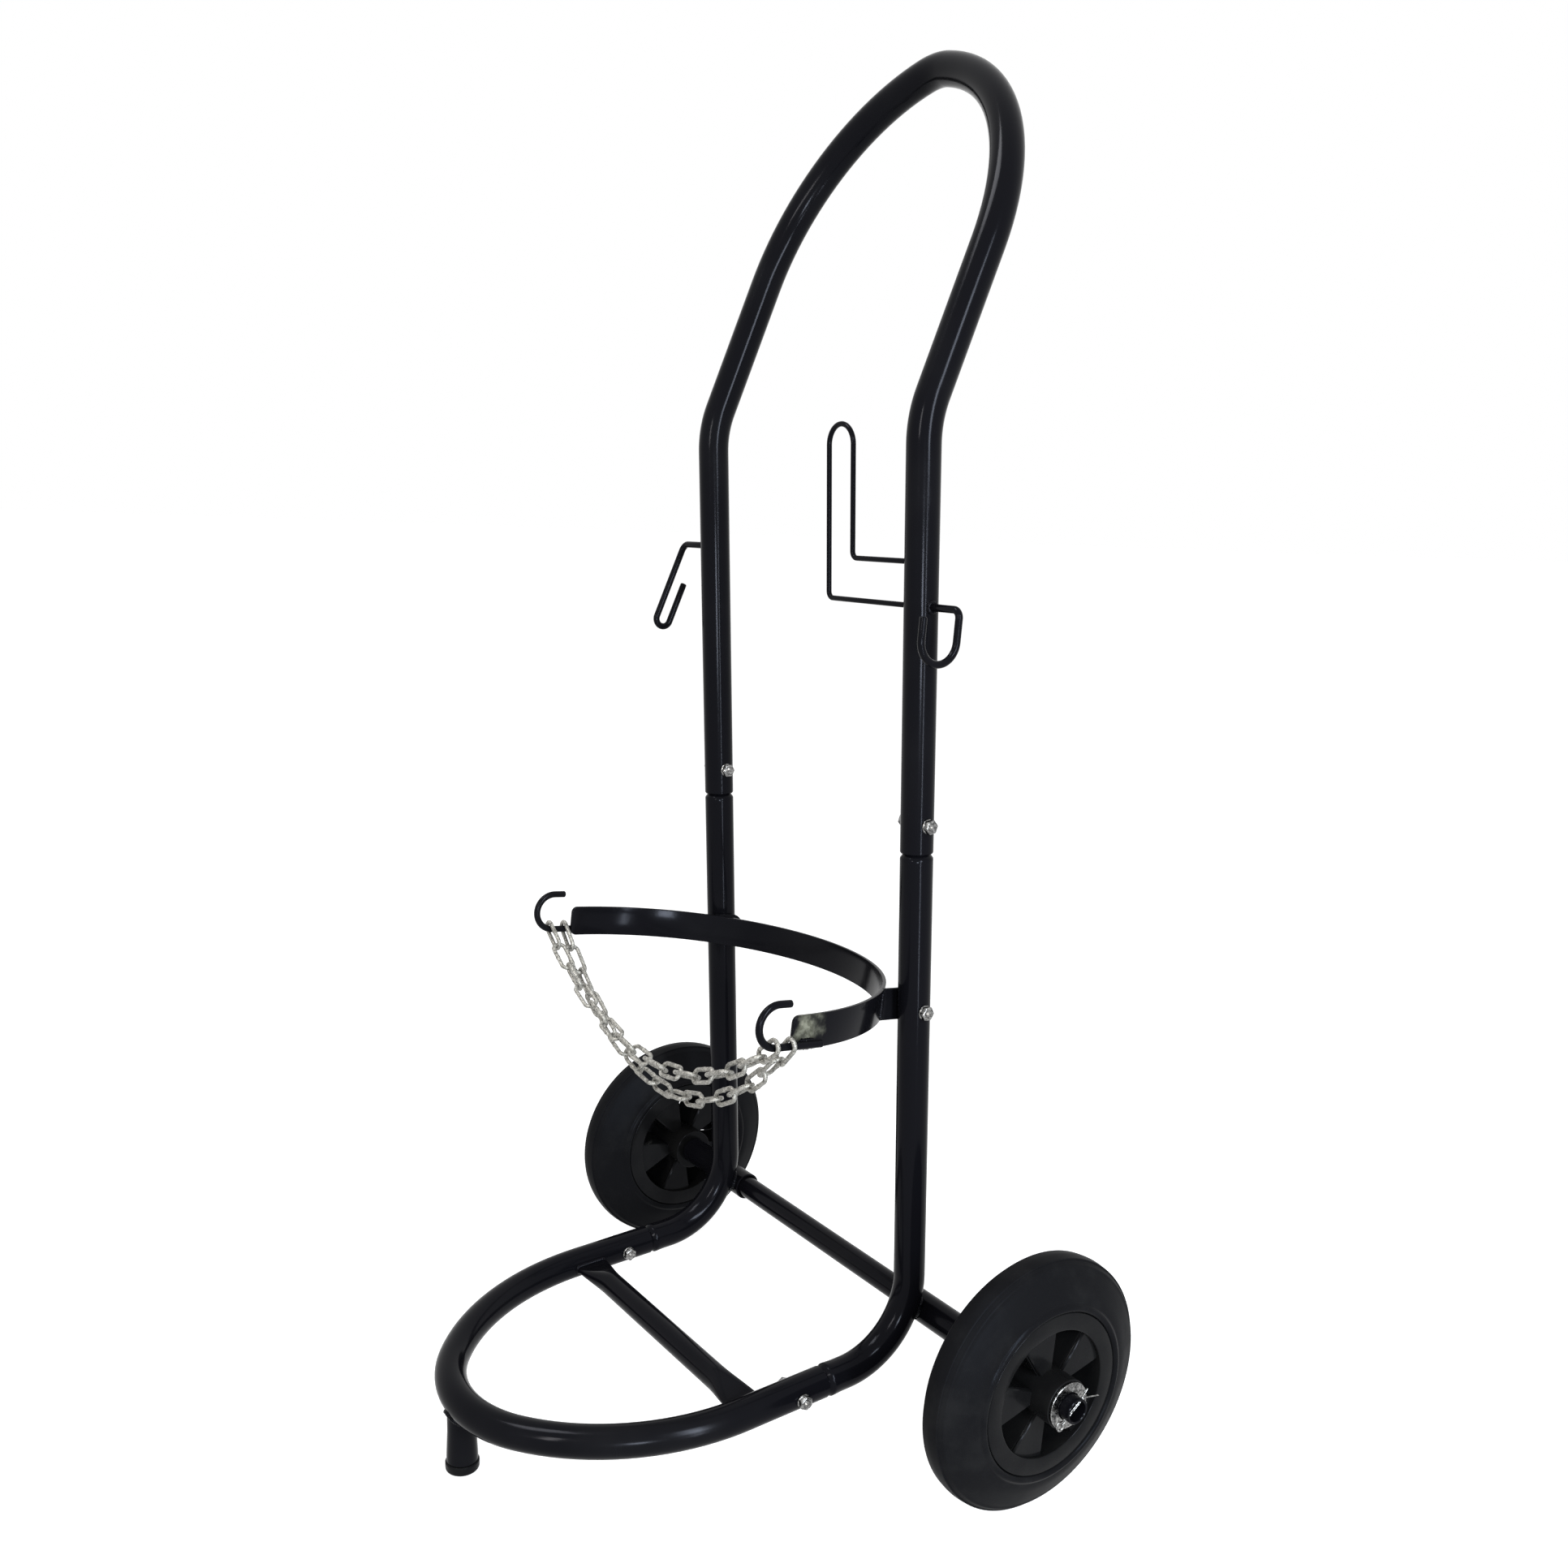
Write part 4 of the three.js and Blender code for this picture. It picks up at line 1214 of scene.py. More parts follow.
@dataclass
class Axle:
    """The axle with its sleeves, washers and split pins."""

    plan: Plan
    wall: float = 2.0
    overhang: float = 9.0
    washer: float = 18.0
    washer_thickness: float = 2.0
    sleeve_inboard: float = 12.5
    pin_wire: float = 1.35
    pin_turn: float = 34.0
    pin_tail: float = 3.0
    pin_eye: float = 3.0
    pin_legs: tuple[tuple[int, float, float], ...] = ((-1, 15.0, 48.0), (1, 7.0, 12.0))
    weld: Weld = Weld(2.7, 21)
    weld_half: float = 7.4
    weld_points: int = 60

    @property
    def washer_x(self) -> float:
        """The washers' inner faces."""
        return self.plan.wheel_x + self.plan.boss_half + self.plan.fit

    @property
    def end_x(self) -> float:
        """The axle's ends."""
        return self.washer_x + self.washer_thickness + self.overhang

    @property
    def pin_x(self) -> float:
        """The split pins' places."""
        return self.washer_x + self.washer_thickness + self.overhang / 2

    def bar(self) -> Object:
        """The axle tube, open at both ends.

        Returns:
            The tube.
        """
        radius = self.plan.axle - 0.15
        stock = from_mouth("axle_tube", -X * self.end_x, X, radius, self.wall, 60, 0.5)
        stock.run(2 * self.end_x - 1.0).mouth(self.wall, 60, 0.5)
        return lay(stock.done(), self.plan.frame)

    def sleeve(self, side: Side) -> Object:
        """One sleeve, welded behind the base bend.

        Args:
            side: The trolley's side.

        Returns:
            The sleeve with its weld.
        """
        plan = self.plan
        low, high = plan.post_x - self.sleeve_inboard, plan.wheel_x - plan.boss_half - plan.fit
        outer, inner = plan.sleeve - 0.2, plan.axle + plan.fit
        profile = [(inner, low + 0.5), (inner + 0.5, low), (outer - 0.5, low), (outer, low + 0.5),
                   (outer, high - 0.5), (outer - 0.5, high), (inner + 0.5, high), (inner, high - 0.5),
                   (inner, low + 0.5)]
        tube = self.ring(side, f"{side.word}_axle_sleeve_tube", profile)
        return join(tube.name, [tube, self.sleeve_bead(side)])

    def ring(self, side: Side, name: str, profile: Sequence[tuple[float, float]]) -> Object:
        """Turns a ring around the axle.

        Args:
            side: The trolley's side.
            name: The ring's name.
            profile: Points as (radius, distance from the trolley's middle).

        Returns:
            The ring in its place.
        """
        points = [(radius, side.value * away) for radius, away in profile]
        return lay(turned(name, points, X), self.plan.frame)

    def sleeve_bead(self, side: Side) -> Object:
        """The weld that fills the crevice between the sleeve and the base bend.

        Args:
            side: The trolley's side.

        Returns:
            The bead.
        """
        plan = self.plan
        centre = Vector((side.value * plan.post_x, plan.post_y - plan.base_bend,
                         plan.base_bend - plan.rail_drop))
        out = (Vector((side.value * plan.post_x, 0, 0)) - centre).normalized()
        along = out.cross(X)
        touch = centre + out * (plan.bend_to_axle + plan.base_bend + plan.tube - plan.sleeve) / 2
        path = []
        for i in range(self.weld_points + 1):
            turn = tau * i / self.weld_points
            a, b = self.weld_half * cos(turn), self.weld_half * sin(turn)
            path.append(touch + X * a + along * b + out * ((b * b - a * a) / (4 * plan.tube)))
        return lay(bead(f"{side.word}_sleeve_bead", path, self.weld, side.value), plan.frame)

    def washer_ring(self, side: Side) -> Object:
        """One flat washer.

        Args:
            side: The trolley's side.

        Returns:
            The washer.
        """
        low, high = self.washer_x, self.washer_x + self.washer_thickness
        inner, outer, edge = self.plan.axle + self.plan.fit, self.washer, 0.35
        profile = [(inner, low), (outer - edge, low), (outer, low + edge), (outer, high - edge),
                   (outer - edge, high), (inner + edge, high), (inner, high - edge), (inner, low)]
        return self.ring(side, f"{side.word}_flat_washer", profile)

    def split_pin(self, side: Side) -> Object:
        """One split pin: a folded wire whose two legs are spread behind the axle.

        Args:
            side: The trolley's side.

        Returns:
            The bent pin.
        """
        place = self.plan.frame @ Matrix.Translation((side.value * self.pin_x * MM, 0, 0)) \
            @ Matrix.Rotation(radians(self.pin_turn), 4, "X")
        through, wire, eye = 2 * self.plan.axle, self.pin_wire, self.pin_eye
        head = -self.plan.axle - self.pin_tail
        legs = []
        for way, reach, splay in self.pin_legs:
            inward = X * -way
            start = Vector((0, head - eye * 1.9, 0.01 * way))
            stock = from_tip("pin_leg", start, Vector((0, 0.02, way)).normalized(), wire * 0.62, 0.2, 12)
            stock.run(eye * 0.35).bend(eye * 0.8, 90, inward, 10).bend(eye * 0.8, 55, inward, 10)
            toward = Vector((0, head + 0.6, way * wire * 0.55)) - stock.place
            stock.heading = toward.normalized()
            stock.run(toward.length)
            stock.heading = Y.copy()
            stock.run(through + self.pin_tail - 0.4).bend(2.5, splay, -inward, 8)
            legs.append(to_tip(stock, reach, 0.3).done())
        return lay(join(f"{side.word}_bent_pin", legs), place)

    def build(self, dresser: Dresser) -> None:
        """Builds and dresses the axle and what is on it.

        Args:
            dresser: Gives each piece its finish.
        """
        dresser.finish(self.bar(), "axle")
        for side in Side:
            dresser.finish(self.sleeve(side), f"{side.word}_axle_sleeve")
            dresser.finish(self.washer_ring(side), f"{side.word}_wheel_washer", Slot.ZINC)
            dresser.finish(self.split_pin(side), f"{side.word}_split_pin", Slot.ZINC)


@dataclass
class Wheel:
    """A moulded hub with staggered panels, and its solid tyre."""

    plan: Plan
    side: Side
    bore: float = 64.0
    tread: float = 100.0
    face: float = 22.5
    recess: float = 50.0
    web: float = 19.0
    panel: float = 3.0
    boss: float = 19.0
    pockets: int = 5
    open_half: float = 17.5
    chamfer: float = 1.45
    right_phase: float = 23.0
    left_phase: float = 63.0
    vane: float = 1.6
    vane_setback: float = 1.4

    @property
    def place(self) -> Matrix:
        """The wheel's centre, turned so that its outer side faces out."""
        centre = self.plan.axle_place + X * self.side.value * self.plan.wheel_x * MM
        turn = Matrix.Rotation(pi, 4, "Y") if self.side is Side.LEFT else Matrix.Identity(4)
        return Matrix.Translation(centre) @ turn

    def tyre(self) -> Object:
        """The tyre, with a rolled bead, bulging flanks, shoulder ribs and a narrow tread.

        Returns:
            The tyre.
        """
        mirrored = [(radius, -width) for radius, width in TYRE_FLANK[::-1]]
        profile = [*TYRE_FLANK, (self.tread, 0), *mirrored, TYRE_FLANK[0]]
        ring = turned(f"{self.side.word}_solid_tyre", profile, X, 144)
        return lay(ring, self.place)

    def wedge(self, name: str, inner: float, outer: float, low: float, high: float, middle: float,
              width: float) -> Object:
        """A wedge-shaped plate across the axis.

        Args:
            name: Its name.
            inner: Its inner radius.
            outer: Its outer radius.
            low: Its lower face along the axis.
            high: Its upper face along the axis.
            middle: Its middle's turn from straight down, in degrees.
            width: How far it goes round, in degrees.

        Returns:
            The closed plate.
        """
        spot = Vector(((low + high) / 2, 0, -(inner + outer) / 2))
        piece = sheet(name, high - low, outer - inner, "X", spot)
        with editing(piece):
            bpy.ops.transform.rotate(value=radians(middle - width / 2), orient_axis="X",
                                     center_override=ORIGIN)
            bpy.ops.mesh.spin(steps=8, angle=radians(width), center=ORIGIN, axis=-X)
        return tidy(piece)

    def hub(self) -> Object:
        """The hub: rim, boss, panels on both sides and the vanes between them.

        Returns:
            The hub.
        """
        rim, recess, face, boss = self.bore - 0.3, self.recess, self.face, self.boss
        bored, ends, inner = self.plan.axle + self.plan.fit, self.plan.boss_half, self.web
        rim_ring = turned("hub_rim", [
            (recess, -inner + 1), (recess, -face), (rim, -face), (rim, face), (recess, face),
            (recess, inner - 1), (recess, -inner + 1)], X, 144)
        square = [(bored, -ends), (boss, -ends), (boss, ends), (bored, ends), (bored, -ends)]
        tube = turned("hub_boss", square, X, 96)
        parts = [soften(rim_ring, 0.9, 3), soften(tube, 0.8, 3)]
        pitch = 360 / self.pockets
        first = self.right_phase if self.side is Side.RIGHT else self.left_phase
        for i in range(self.pockets):
            for sign, shift in ((1, 0.5), (-1, 0.0)):
                turn = first + pitch * (i + shift)
                low, high = (inner - self.panel, inner) if sign > 0 else (-inner, -inner + self.panel)
                plate = self.wedge("hub_panel", boss - 4, recess + 4, low, high, turn,
                                   pitch - 2 * self.open_half)
                parts.append(soften(plate, self.chamfer, 1))
            for way in (-1, 1):
                turn = first + pitch * i + way * (self.open_half + self.vane_setback)
                reach = inner - self.panel + 0.5
                parts.append(self.wedge("hub_vane", boss - 1, recess + 1, -reach, reach, turn, self.vane))
        return lay(join(f"{self.side.word}_moulded_hub", parts), self.place)

    def build(self, dresser: Dresser) -> None:
        """Builds and dresses the tyre and the hub.

        Args:
            dresser: Gives each piece its finish.
        """
        body, word = Body[f"{self.side.name}_WHEEL"], self.side.word
        rubber = TyreRubber(f"{word}_satin_tyre_rubber", tuple(self.place.translation)).make()
        dresser.finish(self.tyre(), f"{word}_tyre", Slot.TYRE, body, rubber)
        dresser.finish(self.hub(), f"{word}_wheel_hub", Slot.HUB, body)


@dataclass
class Fasteners:
    """The M6 bolts and flange nuts, every nut on the +X side."""

    plan: Plan
    shank: float = 3.0
    head: float = 5.5
    head_height: float = 4.0
    nut: float = 5.0
    nut_height: float = 5.0
    flange: float = 5.7
    tail: float = 2.0
    threads: int = 11
    thread_depth: float = 0.42
    plate: float = 3.0
    above_joint: float = 22.0
    ahead_of_joint: float = 26.0
    next_turn: float = 23.0
    smooth: float = 30.0
    seating: float = 0.3
    taper: float = 0.86
    chamfer: float = 0.7

    def places(self) -> list[tuple[str, float, float, float, float]]:
        """Lists the bolts.

        Returns:
            Each bolt's name, the ends of what it clamps along X, and its Y and Z.
        """
        plan, rows = self.plan, []
        joint_z = plan.upper_joint + plan.shoulder + self.above_joint
        base_y = plan.post_y - plan.base_joint - plan.shoulder - self.ahead_of_joint
        for side in Side:
            low, high = side.value * plan.post_x - plan.tube, side.value * plan.post_x + plan.tube
            inner = self.plate + plan.fit
            band = (low, high + inner) if side is Side.LEFT else (low - inner, high)
            rows += [(f"{side.word}_upper_joint", low, high, plan.post_y, joint_z),
                     (f"{side.word}_base_joint", low, high, base_y, -plan.rail_drop),
                     (f"{side.word}_band", *band, plan.post_y, plan.band_bolt)]
        return rows

    def hexagon(self, name: str, low: float, high: float, across: float) -> Object:
        """A hexagon along X with a chamfered outer end.

        Args:
            name: Its name.
            low: Its seat's place along X.
            high: Its outer end's place along X.
            across: Half its width across the flats.

        Returns:
            The closed hexagon.
        """
        deselect()
        bpy.ops.mesh.primitive_circle_add(vertices=6, radius=across / cos(pi / 6) * MM,
                                          location=(low * MM, 0, 0), rotation=(0, pi / 2, 0))
        piece = named(name)
        edge = copysign(self.chamfer, high - low)
        with editing(piece):
            pull(X * (high - low - edge))
            pull(X * edge)
            bpy.ops.transform.resize(value=(1, self.taper, self.taper), center_override=(high * MM, 0, 0))
        return soften(tidy(piece), 0.3, 2)

    def bolt(self, name: str, from_x: float, to_x: float) -> Object:
        """A bolt whose thread shows beyond the nut.

        Args:
            name: Its name.
            from_x: Where the head's side of the clamped pieces is.
            to_x: Where the nut's side of them is.

        Returns:
            The head and the threaded shank.
        """
        seat, tip = from_x - self.seating, to_x + self.seating + self.nut_height + self.tail
        head = self.hexagon("bolt_head", seat, seat - self.head_height, self.head * cos(pi / 6))
        profile = [(0, seat - 1), (self.shank, seat - 1), (self.shank, tip - 12)]
        for i in range(self.threads):
            crest = tip - self.threads - 0.1 + i
            profile += [(self.shank - self.thread_depth, crest - 0.5), (self.shank, crest)]
        profile += [(self.shank - 0.6, tip), (0, tip)]
        return join(name, [head, turned("bolt_shank", profile, X, 24)])

    def flange_nut(self, name: str, to_x: float) -> Object:
        """A flange nut.

        Args:
            name: Its name.
            to_x: What it bears on, along X.

        Returns:
            The hexagon, the flange and the rim of the thread's mouth.
        """
        seat, bored, top = to_x + self.seating, self.shank + 0.1, self.nut_height
        hexagon = self.hexagon("nut_hexagon", seat + 0.5, seat + top, self.nut)
        flange = [(bored, 0), (self.flange - 0.2, 0), (self.flange, 0.3), (self.flange - 0.2, 0.8),
                  (self.nut, 1.2), (bored, 1.2), (bored, 0)]
        mouth = [(bored, 3), (self.nut * 0.72, top - 0.1), (self.nut * 0.7, top + 0.12), (bored, top - 0.3),
                 (bored, 3)]
        skirt = turned("nut_flange", [(radius, seat + up) for radius, up in flange], X, 40)
        collar = turned("nut_mouth", [(radius, seat + up) for radius, up in mouth], X, 32)
        return join(name, [hexagon, skirt, collar])

    def build(self, dresser: Dresser) -> None:
        """Builds and dresses all six bolts and nuts, each turned on from the last.

        Args:
            dresser: Gives each piece its finish.
        """
        for i, (name, from_x, to_x, y, z) in enumerate(self.places()):
            turn = Matrix.Rotation(radians(self.next_turn * i), 4, "X")
            place = self.plan.frame @ Matrix.Translation((0, y * MM, z * MM)) @ turn
            bolt = lay(self.bolt(f"{name}_hex_bolt", from_x, to_x), place)
            nut = lay(self.flange_nut(f"{name}_flange_nut", to_x), place)
            dresser.finish(bolt, f"{name}_bolt", Slot.ZINC, smooth=self.smooth)
            dresser.finish(nut, f"{name}_nut", Slot.ZINC, smooth=self.smooth)


@dataclass
class Band:
    """The half ring of flat bar with its brackets and chain hooks."""

    plan: Plan
    height: float = 25.0
    thickness: float = 3.0
    radius: float = 168.0
    reach: float = 136.0
    rise: float = 8.0
    end_straight: float = 0.5
    corner: float = 5.0
    bracket_tail: float = 12.5
    rod: float = 2.75
    hook_radius: float = 15.5
    edge_offset: float = 4.5
    weld_length: float = 24.0
    hook_gap: float = 15.5
    bracket_weld: Weld = Weld(2.0, 31)
    hook_weld: Weld = Weld(1.7, 41)
    tip: float = 9.5

    @property
    def place(self) -> Matrix:
        """The band's place: it is tipped up at the front about its bolts."""
        hinge = Matrix.Translation((0, self.plan.post_y * MM, self.plan.band_bolt * MM))
        return self.plan.frame @ hinge @ Matrix.Rotation(-radians(self.rise), 4, "X")

    @property
    def end_y(self) -> float:
        """Where the band's ends are."""
        return -self.reach - self.end_straight

    @property
    def rod_x(self) -> float:
        """The hook rods' centre lines."""
        return self.radius + self.thickness / 2 + self.plan.fit + self.rod

    @property
    def rod_z(self) -> float:
        """The height of the hook rods, from the middle of the band."""
        return self.edge_offset - self.height / 2

    def ring(self) -> Object:
        """The half ring: a flat section spun round the cylinder's axis, its end corners rounded.

        Returns:
            The half ring.
        """
        piece = sheet("cylinder_band_flat", self.thickness, self.height, "X", X * self.radius)
        extra = degrees(self.end_straight / self.radius)
        with editing(piece):
            bpy.ops.mesh.spin(steps=60, angle=radians(180 + 2 * extra), center=ORIGIN, axis=-Z)
        tidy(piece)
        lay(piece, Matrix.Translation((0, -self.reach * MM, 0)) @ Matrix.Rotation(-radians(extra), 4, "Z"))
        end = (self.end_y + 0.4) * MM
        with editing(piece):
            pick(piece, "EDGE", lambda edge: all(v.co.y < end for v in edge.verts)
                 and abs(edge.verts[0].co.z - edge.verts[1].co.z) < 0.1 * MM)
            bpy.ops.mesh.bevel(offset=self.corner * MM, segments=6, affect="EDGES")
        return lay(soften(piece, 0.5, 3), self.place)

    def bracket(self, side: Side) -> Object:
        """A plate against the inner side of the post, welded to the ring.

        Args:
            side: The trolley's side.

        Returns:
            The plate with its welds.
        """
        middle = side.value * (self.plan.post_x - self.plan.tube - self.plan.fit - self.thickness / 2)
        front = -(self.reach - sqrt(self.radius ** 2 - middle ** 2)) - 0.3
        half = self.height / 2
        spot = Vector((middle - self.thickness / 2, (self.bracket_tail + front) / 2, 0))
        piece = sheet(f"{side.word}_bracket_plate", self.height, self.bracket_tail - front, "Y", spot)
        with editing(piece):
            pick(piece, "VERT", lambda vert: vert.co.y > 0)
            bpy.ops.mesh.bevel(offset=(half - 0.2) * MM, segments=10, affect="VERTICES")
            bpy.ops.mesh.select_all(action="SELECT")
            pull(X * self.thickness)
        soften(tidy(piece), 0.5, 2)
        beads = []
        for i, way in enumerate((-1, 1)):
            x = middle + way * (self.thickness / 2 + 0.5)
            y = -(self.reach - sqrt(self.radius ** 2 - x * x)) + 1.6
            path = [Vector((x, y, z)) for z in (1 - half, half - 1)]
            beads.append(bead("bracket_bead", path, self.bracket_weld, i + side.value, False))
        return lay(join(piece.name, [piece, *beads]), self.place)

    def hook(self, side: Side) -> Object:
        """A chain hook: rod along the band's lower edge that curls up and back.

        Args:
            side: The trolley's side.

        Returns:
            The hook with its welds.
        """
        x = side.value * self.rod_x
        start = Vector((x, self.end_y + self.weld_length, self.rod_z))
        stock = from_tip(f"{side.word}_curled_hook", start, -Y, self.rod, 0.7)
        stock.run(self.weld_length + self.hook_gap - 0.7).bend(self.hook_radius, 180, -X, 6)
        hook = to_tip(stock, self.tip, 0.9).done()
        beads = []
        for i, (way, low, high) in enumerate(((-1, 3, 21), (1, 6, 19))):
            path = [Vector((x - side.value * 2.3, self.end_y + y, self.rod_z + way * 2.5))
                    for y in (low, high)]
            beads.append(bead("hook_bead", path, self.hook_weld, i + side.value, False))
        return lay(join(hook.name, [hook, *beads]), self.place)

    def build(self, dresser: Dresser) -> None:
        """Builds and dresses the ring, the brackets and the hooks.

        Args:
            dresser: Gives each piece its finish.
        """
        spot = self.place @ (Vector((self.radius - 1, self.end_y + 14, 3)) * MM)
        worn = PowderCoat("chafed_black_powder_coat", chafed_at=tuple(spot)).make()
        dresser.finish(self.ring(), "cylinder_band", material=worn)
        for side in Side:
            dresser.finish(self.bracket(side), f"{side.word}_band_bracket")
            dresser.finish(self.hook(side), f"{side.word}_chain_hook")


@dataclass
class Chain:
    """The securing chain, hung double between the hooks."""

    plan: Plan
    band: Band
    wire: float = 1.7
    inner: float = 6.6
    pitch: float = 24.1
    bite: float = 0.6
    setback: float = 3.4
    spacing: float = 13.9
    front_links: int = 16
    rear_links: int = 17
    smooth: float = 60.0

    def link(self) -> Object:
        """One link along X, flat across Z, with the swell of its butt weld.

        Returns:
            The link.
        """
        bow = self.inner / 2 + self.wire
        deselect()
        bpy.ops.mesh.primitive_torus_add(major_segments=24, minor_segments=12, major_radius=bow * MM,
                                         minor_radius=self.wire * MM, rotation=(0, 0, radians(7.5)))
        piece = named("chain_link")
        stretch = (self.pitch - self.bite) / 2 - self.inner / 2
        with editing(piece):
            for way in (-1, 1):
                pick(piece, "VERT", lambda vert: vert.co.x * way > 0)
                bpy.ops.transform.translate(value=(way * stretch * MM, 0, 0))
            for cut in (-1.6, -0.8, 0, 0.8, 1.6):
                bpy.ops.mesh.select_all(action="SELECT")
                bpy.ops.mesh.bisect(plane_co=(cut * MM, 0, 0), plane_no=X)
            for reach, swell in ((1.0, 1.12), (0.2, 1.08)):
                pick(piece, "VERT", lambda vert: abs(vert.co.x) < reach * MM and vert.co.y > 0)
                bpy.ops.transform.resize(value=(1, swell, swell), center_override=(0, bow * MM, 0))
        return tidy(piece)

    def hanging(self, span: float, length: float, count: int) -> list[tuple[float, float]]:
        """Places evenly along a chain that hangs between two level points.

        Args:
            span: The distance between the ends.
            length: The chain's length.
            count: How many links it has.

        Returns:
            Count + 1 places as (x, height below the ends).
        """
        low, high = span / 20, span * 20
        for _ in range(60):
            middle = (low + high) / 2
            if 2 * middle * sinh(span / 2 / middle) > length:
                low = middle
            else:
                high = middle
        sag = hypot(low, length / 2)
        steps = [length * (i / count - 0.5) for i in range(count + 1)]
        return [(low * asinh(step / low), hypot(low, step) - sag) for step in steps]

    def strand(self, name: str, setback: float, count: int) -> Object:
        """One strand from hook to hook.

        Args:
            name: Its name.
            setback: How far in front of the band's ends it hangs.
            count: How many links it has.

        Returns:
            The links as one piece, since they swing as one body.
        """
        band = self.band
        past = max(0.0, setback + self.wire - band.hook_gap)
        rise = band.hook_radius - sqrt(band.hook_radius ** 2 - past ** 2)
        rod = band.place @ (Vector((band.rod_x, band.end_y - setback, band.rod_z + rise)) * MM) / MM
        seat = band.rod + self.wire + self.plan.fit
        length = count * self.pitch
        span, slope = 2 * rod.x, 0.0
        for _ in range(20):
            (x0, z0), (x1, z1) = self.hanging(span, length, count)[-2:]
            slope = atan2(z1 - z0, x1 - x0)
            span = 2 * (rod.x + seat * cos(slope))
        places = self.hanging(span, length, count)
        top = rod.z + seat * sin(slope)
        roll = pi * ceil((count - 1) / 2) / (count - 1)
        model, links = self.link(), []
        for i, ((x0, z0), (x1, z1)) in enumerate(zip(places, places[1:])):
            centre = Vector(((x0 + x1) / 2, rod.y, top + (z0 + z1) / 2)) * MM
            tilt = Matrix.Rotation(-atan2(z1 - z0, x1 - x0), 4, "Y")
            twist = Matrix.Rotation(pi / 2 + i * roll, 4, "X")
            links.append(lay(copy_of(model, f"{name}_link_{i}"), Matrix.Translation(centre) @ tilt @ twist))
        bpy.data.objects.remove(model)
        return join(name, links)

    def build(self, dresser: Dresser) -> None:
        """Builds and dresses both strands.

        Args:
            dresser: Gives each piece its finish.
        """
        for end, setback, count, body in (
                ("front", self.setback + self.spacing, self.front_links, Body.FRONT_CHAIN),
                ("rear", self.setback, self.rear_links, Body.REAR_CHAIN)):
            strand = self.strand(f"{end}_hanging_strand", setback, count)
            dresser.finish(strand, f"{end}_chain_strand", Slot.CHAIN, body, smooth=self.smooth)


@dataclass
class RodWork:
    """The two hose hooks and the torch holder, all bent from rod and welded to the posts."""

    plan: Plan
    rod: float = 2.75
    bend: float = 6.0
    wire: float = 2.0
    stub_weld: Weld = Weld(1.7, 51)
    holder_weld: Weld = Weld(1.3, 61)
    holder_reach: float = 68.0
    holder_gap: float = 29.8
    holder_corner: float = 5.0
    holder_heights: tuple[float, float, float] = (564.0, 595.0, 692.0)

    def hose_hook(self, side: Side, stub: float, height: float, tilt: float, leg: float, width: float,
                  back: float) -> Object:
        """A hook in a plane along the rails.

        Args:
            side: The post it is welded to.
            stub: From the post's side to the leg.
            height: The stub's height above the axle.
            tilt: How far the leg slants to the front, in degrees.
            leg: The leg's length.
            width: The U's width between centre lines.
            back: The return's length.

        Returns:
            The rod and its weld.
        """
        plan, out = self.plan, X * side.value
        x = side.value * (plan.post_x + plan.tube + plan.fit)
        start = Vector((x, plan.post_y, height))
        down = Vector((0, -sin(radians(tilt)), -cos(radians(tilt))))
        stock = from_tip(f"{side.word}_bent_hose_hook", start - out, out, self.rod, 0.5)
        stock.run(stub - self.bend + 0.5).bend(self.bend, 90, out.cross(down).normalized(), 9)
        stock.run(leg - self.bend).bend(width / 2, 180, X if side is Side.LEFT else -X, 6)
        hook = to_tip(stock, back, 1.2).done()
        centre = Vector((side.value * plan.post_x, plan.post_y, height))
        ring = saddle(start + out * 10, -out, self.rod + 0.7, centre, Z, plan.tube + 0.3)
        return lay(join(hook.name, [hook, bead("stub_bead", ring, self.stub_weld, side.value)]), plan.frame)

    def torch_holder(self) -> Object:
        """The torch holder: one wire that rises, turns over and comes back lower down.

        Returns:
            The holder with its welds.
        """
        plan = self.plan
        inner_reach, gap, corner = self.holder_reach, self.holder_gap, self.holder_corner
        low, high, top = self.holder_heights
        x = plan.post_x - plan.tube - plan.fit
        turn = gap / 2
        stock = from_tip("bent_torch_holder", Vector((x + 1, plan.post_y, high)), -X, self.wire, 0.4, 16)
        stock.run(inner_reach - corner + 0.6).bend(corner, 90, Y, 9)
        stock.run(top - turn - high - corner).bend(turn, 180, -Y, 6)
        stock.run(top - turn - low - corner).bend(corner, 90, -Y, 9)
        holder = to_tip(stock, inner_reach + gap - corner + 1, 0.4).done()
        beads = []
        for i, height in enumerate((low, high)):
            centre = Vector((plan.post_x, plan.post_y, height))
            ring = saddle(centre - X * 30, X, self.wire + 0.5, centre, Z, plan.tube + 0.2, 36)
            beads.append(bead("holder_bead", ring, self.holder_weld, i))
        return lay(join(holder.name, [holder, *beads]), plan.frame)

    def build(self, dresser: Dresser) -> None:
        """Builds and dresses the hooks and the holder.

        Args:
            dresser: Gives each piece its finish.
        """
        dresser.finish(self.hose_hook(Side.LEFT, stub=38, height=598, tilt=26, leg=67.5, width=13.6, back=36),
                       "left_hose_hook")
        dresser.finish(self.hose_hook(Side.RIGHT, stub=29, height=564, tilt=6, leg=22, width=32, back=16),
                       "right_hose_hook")
        dresser.finish(self.torch_holder(), "torch_holder")


# The studio


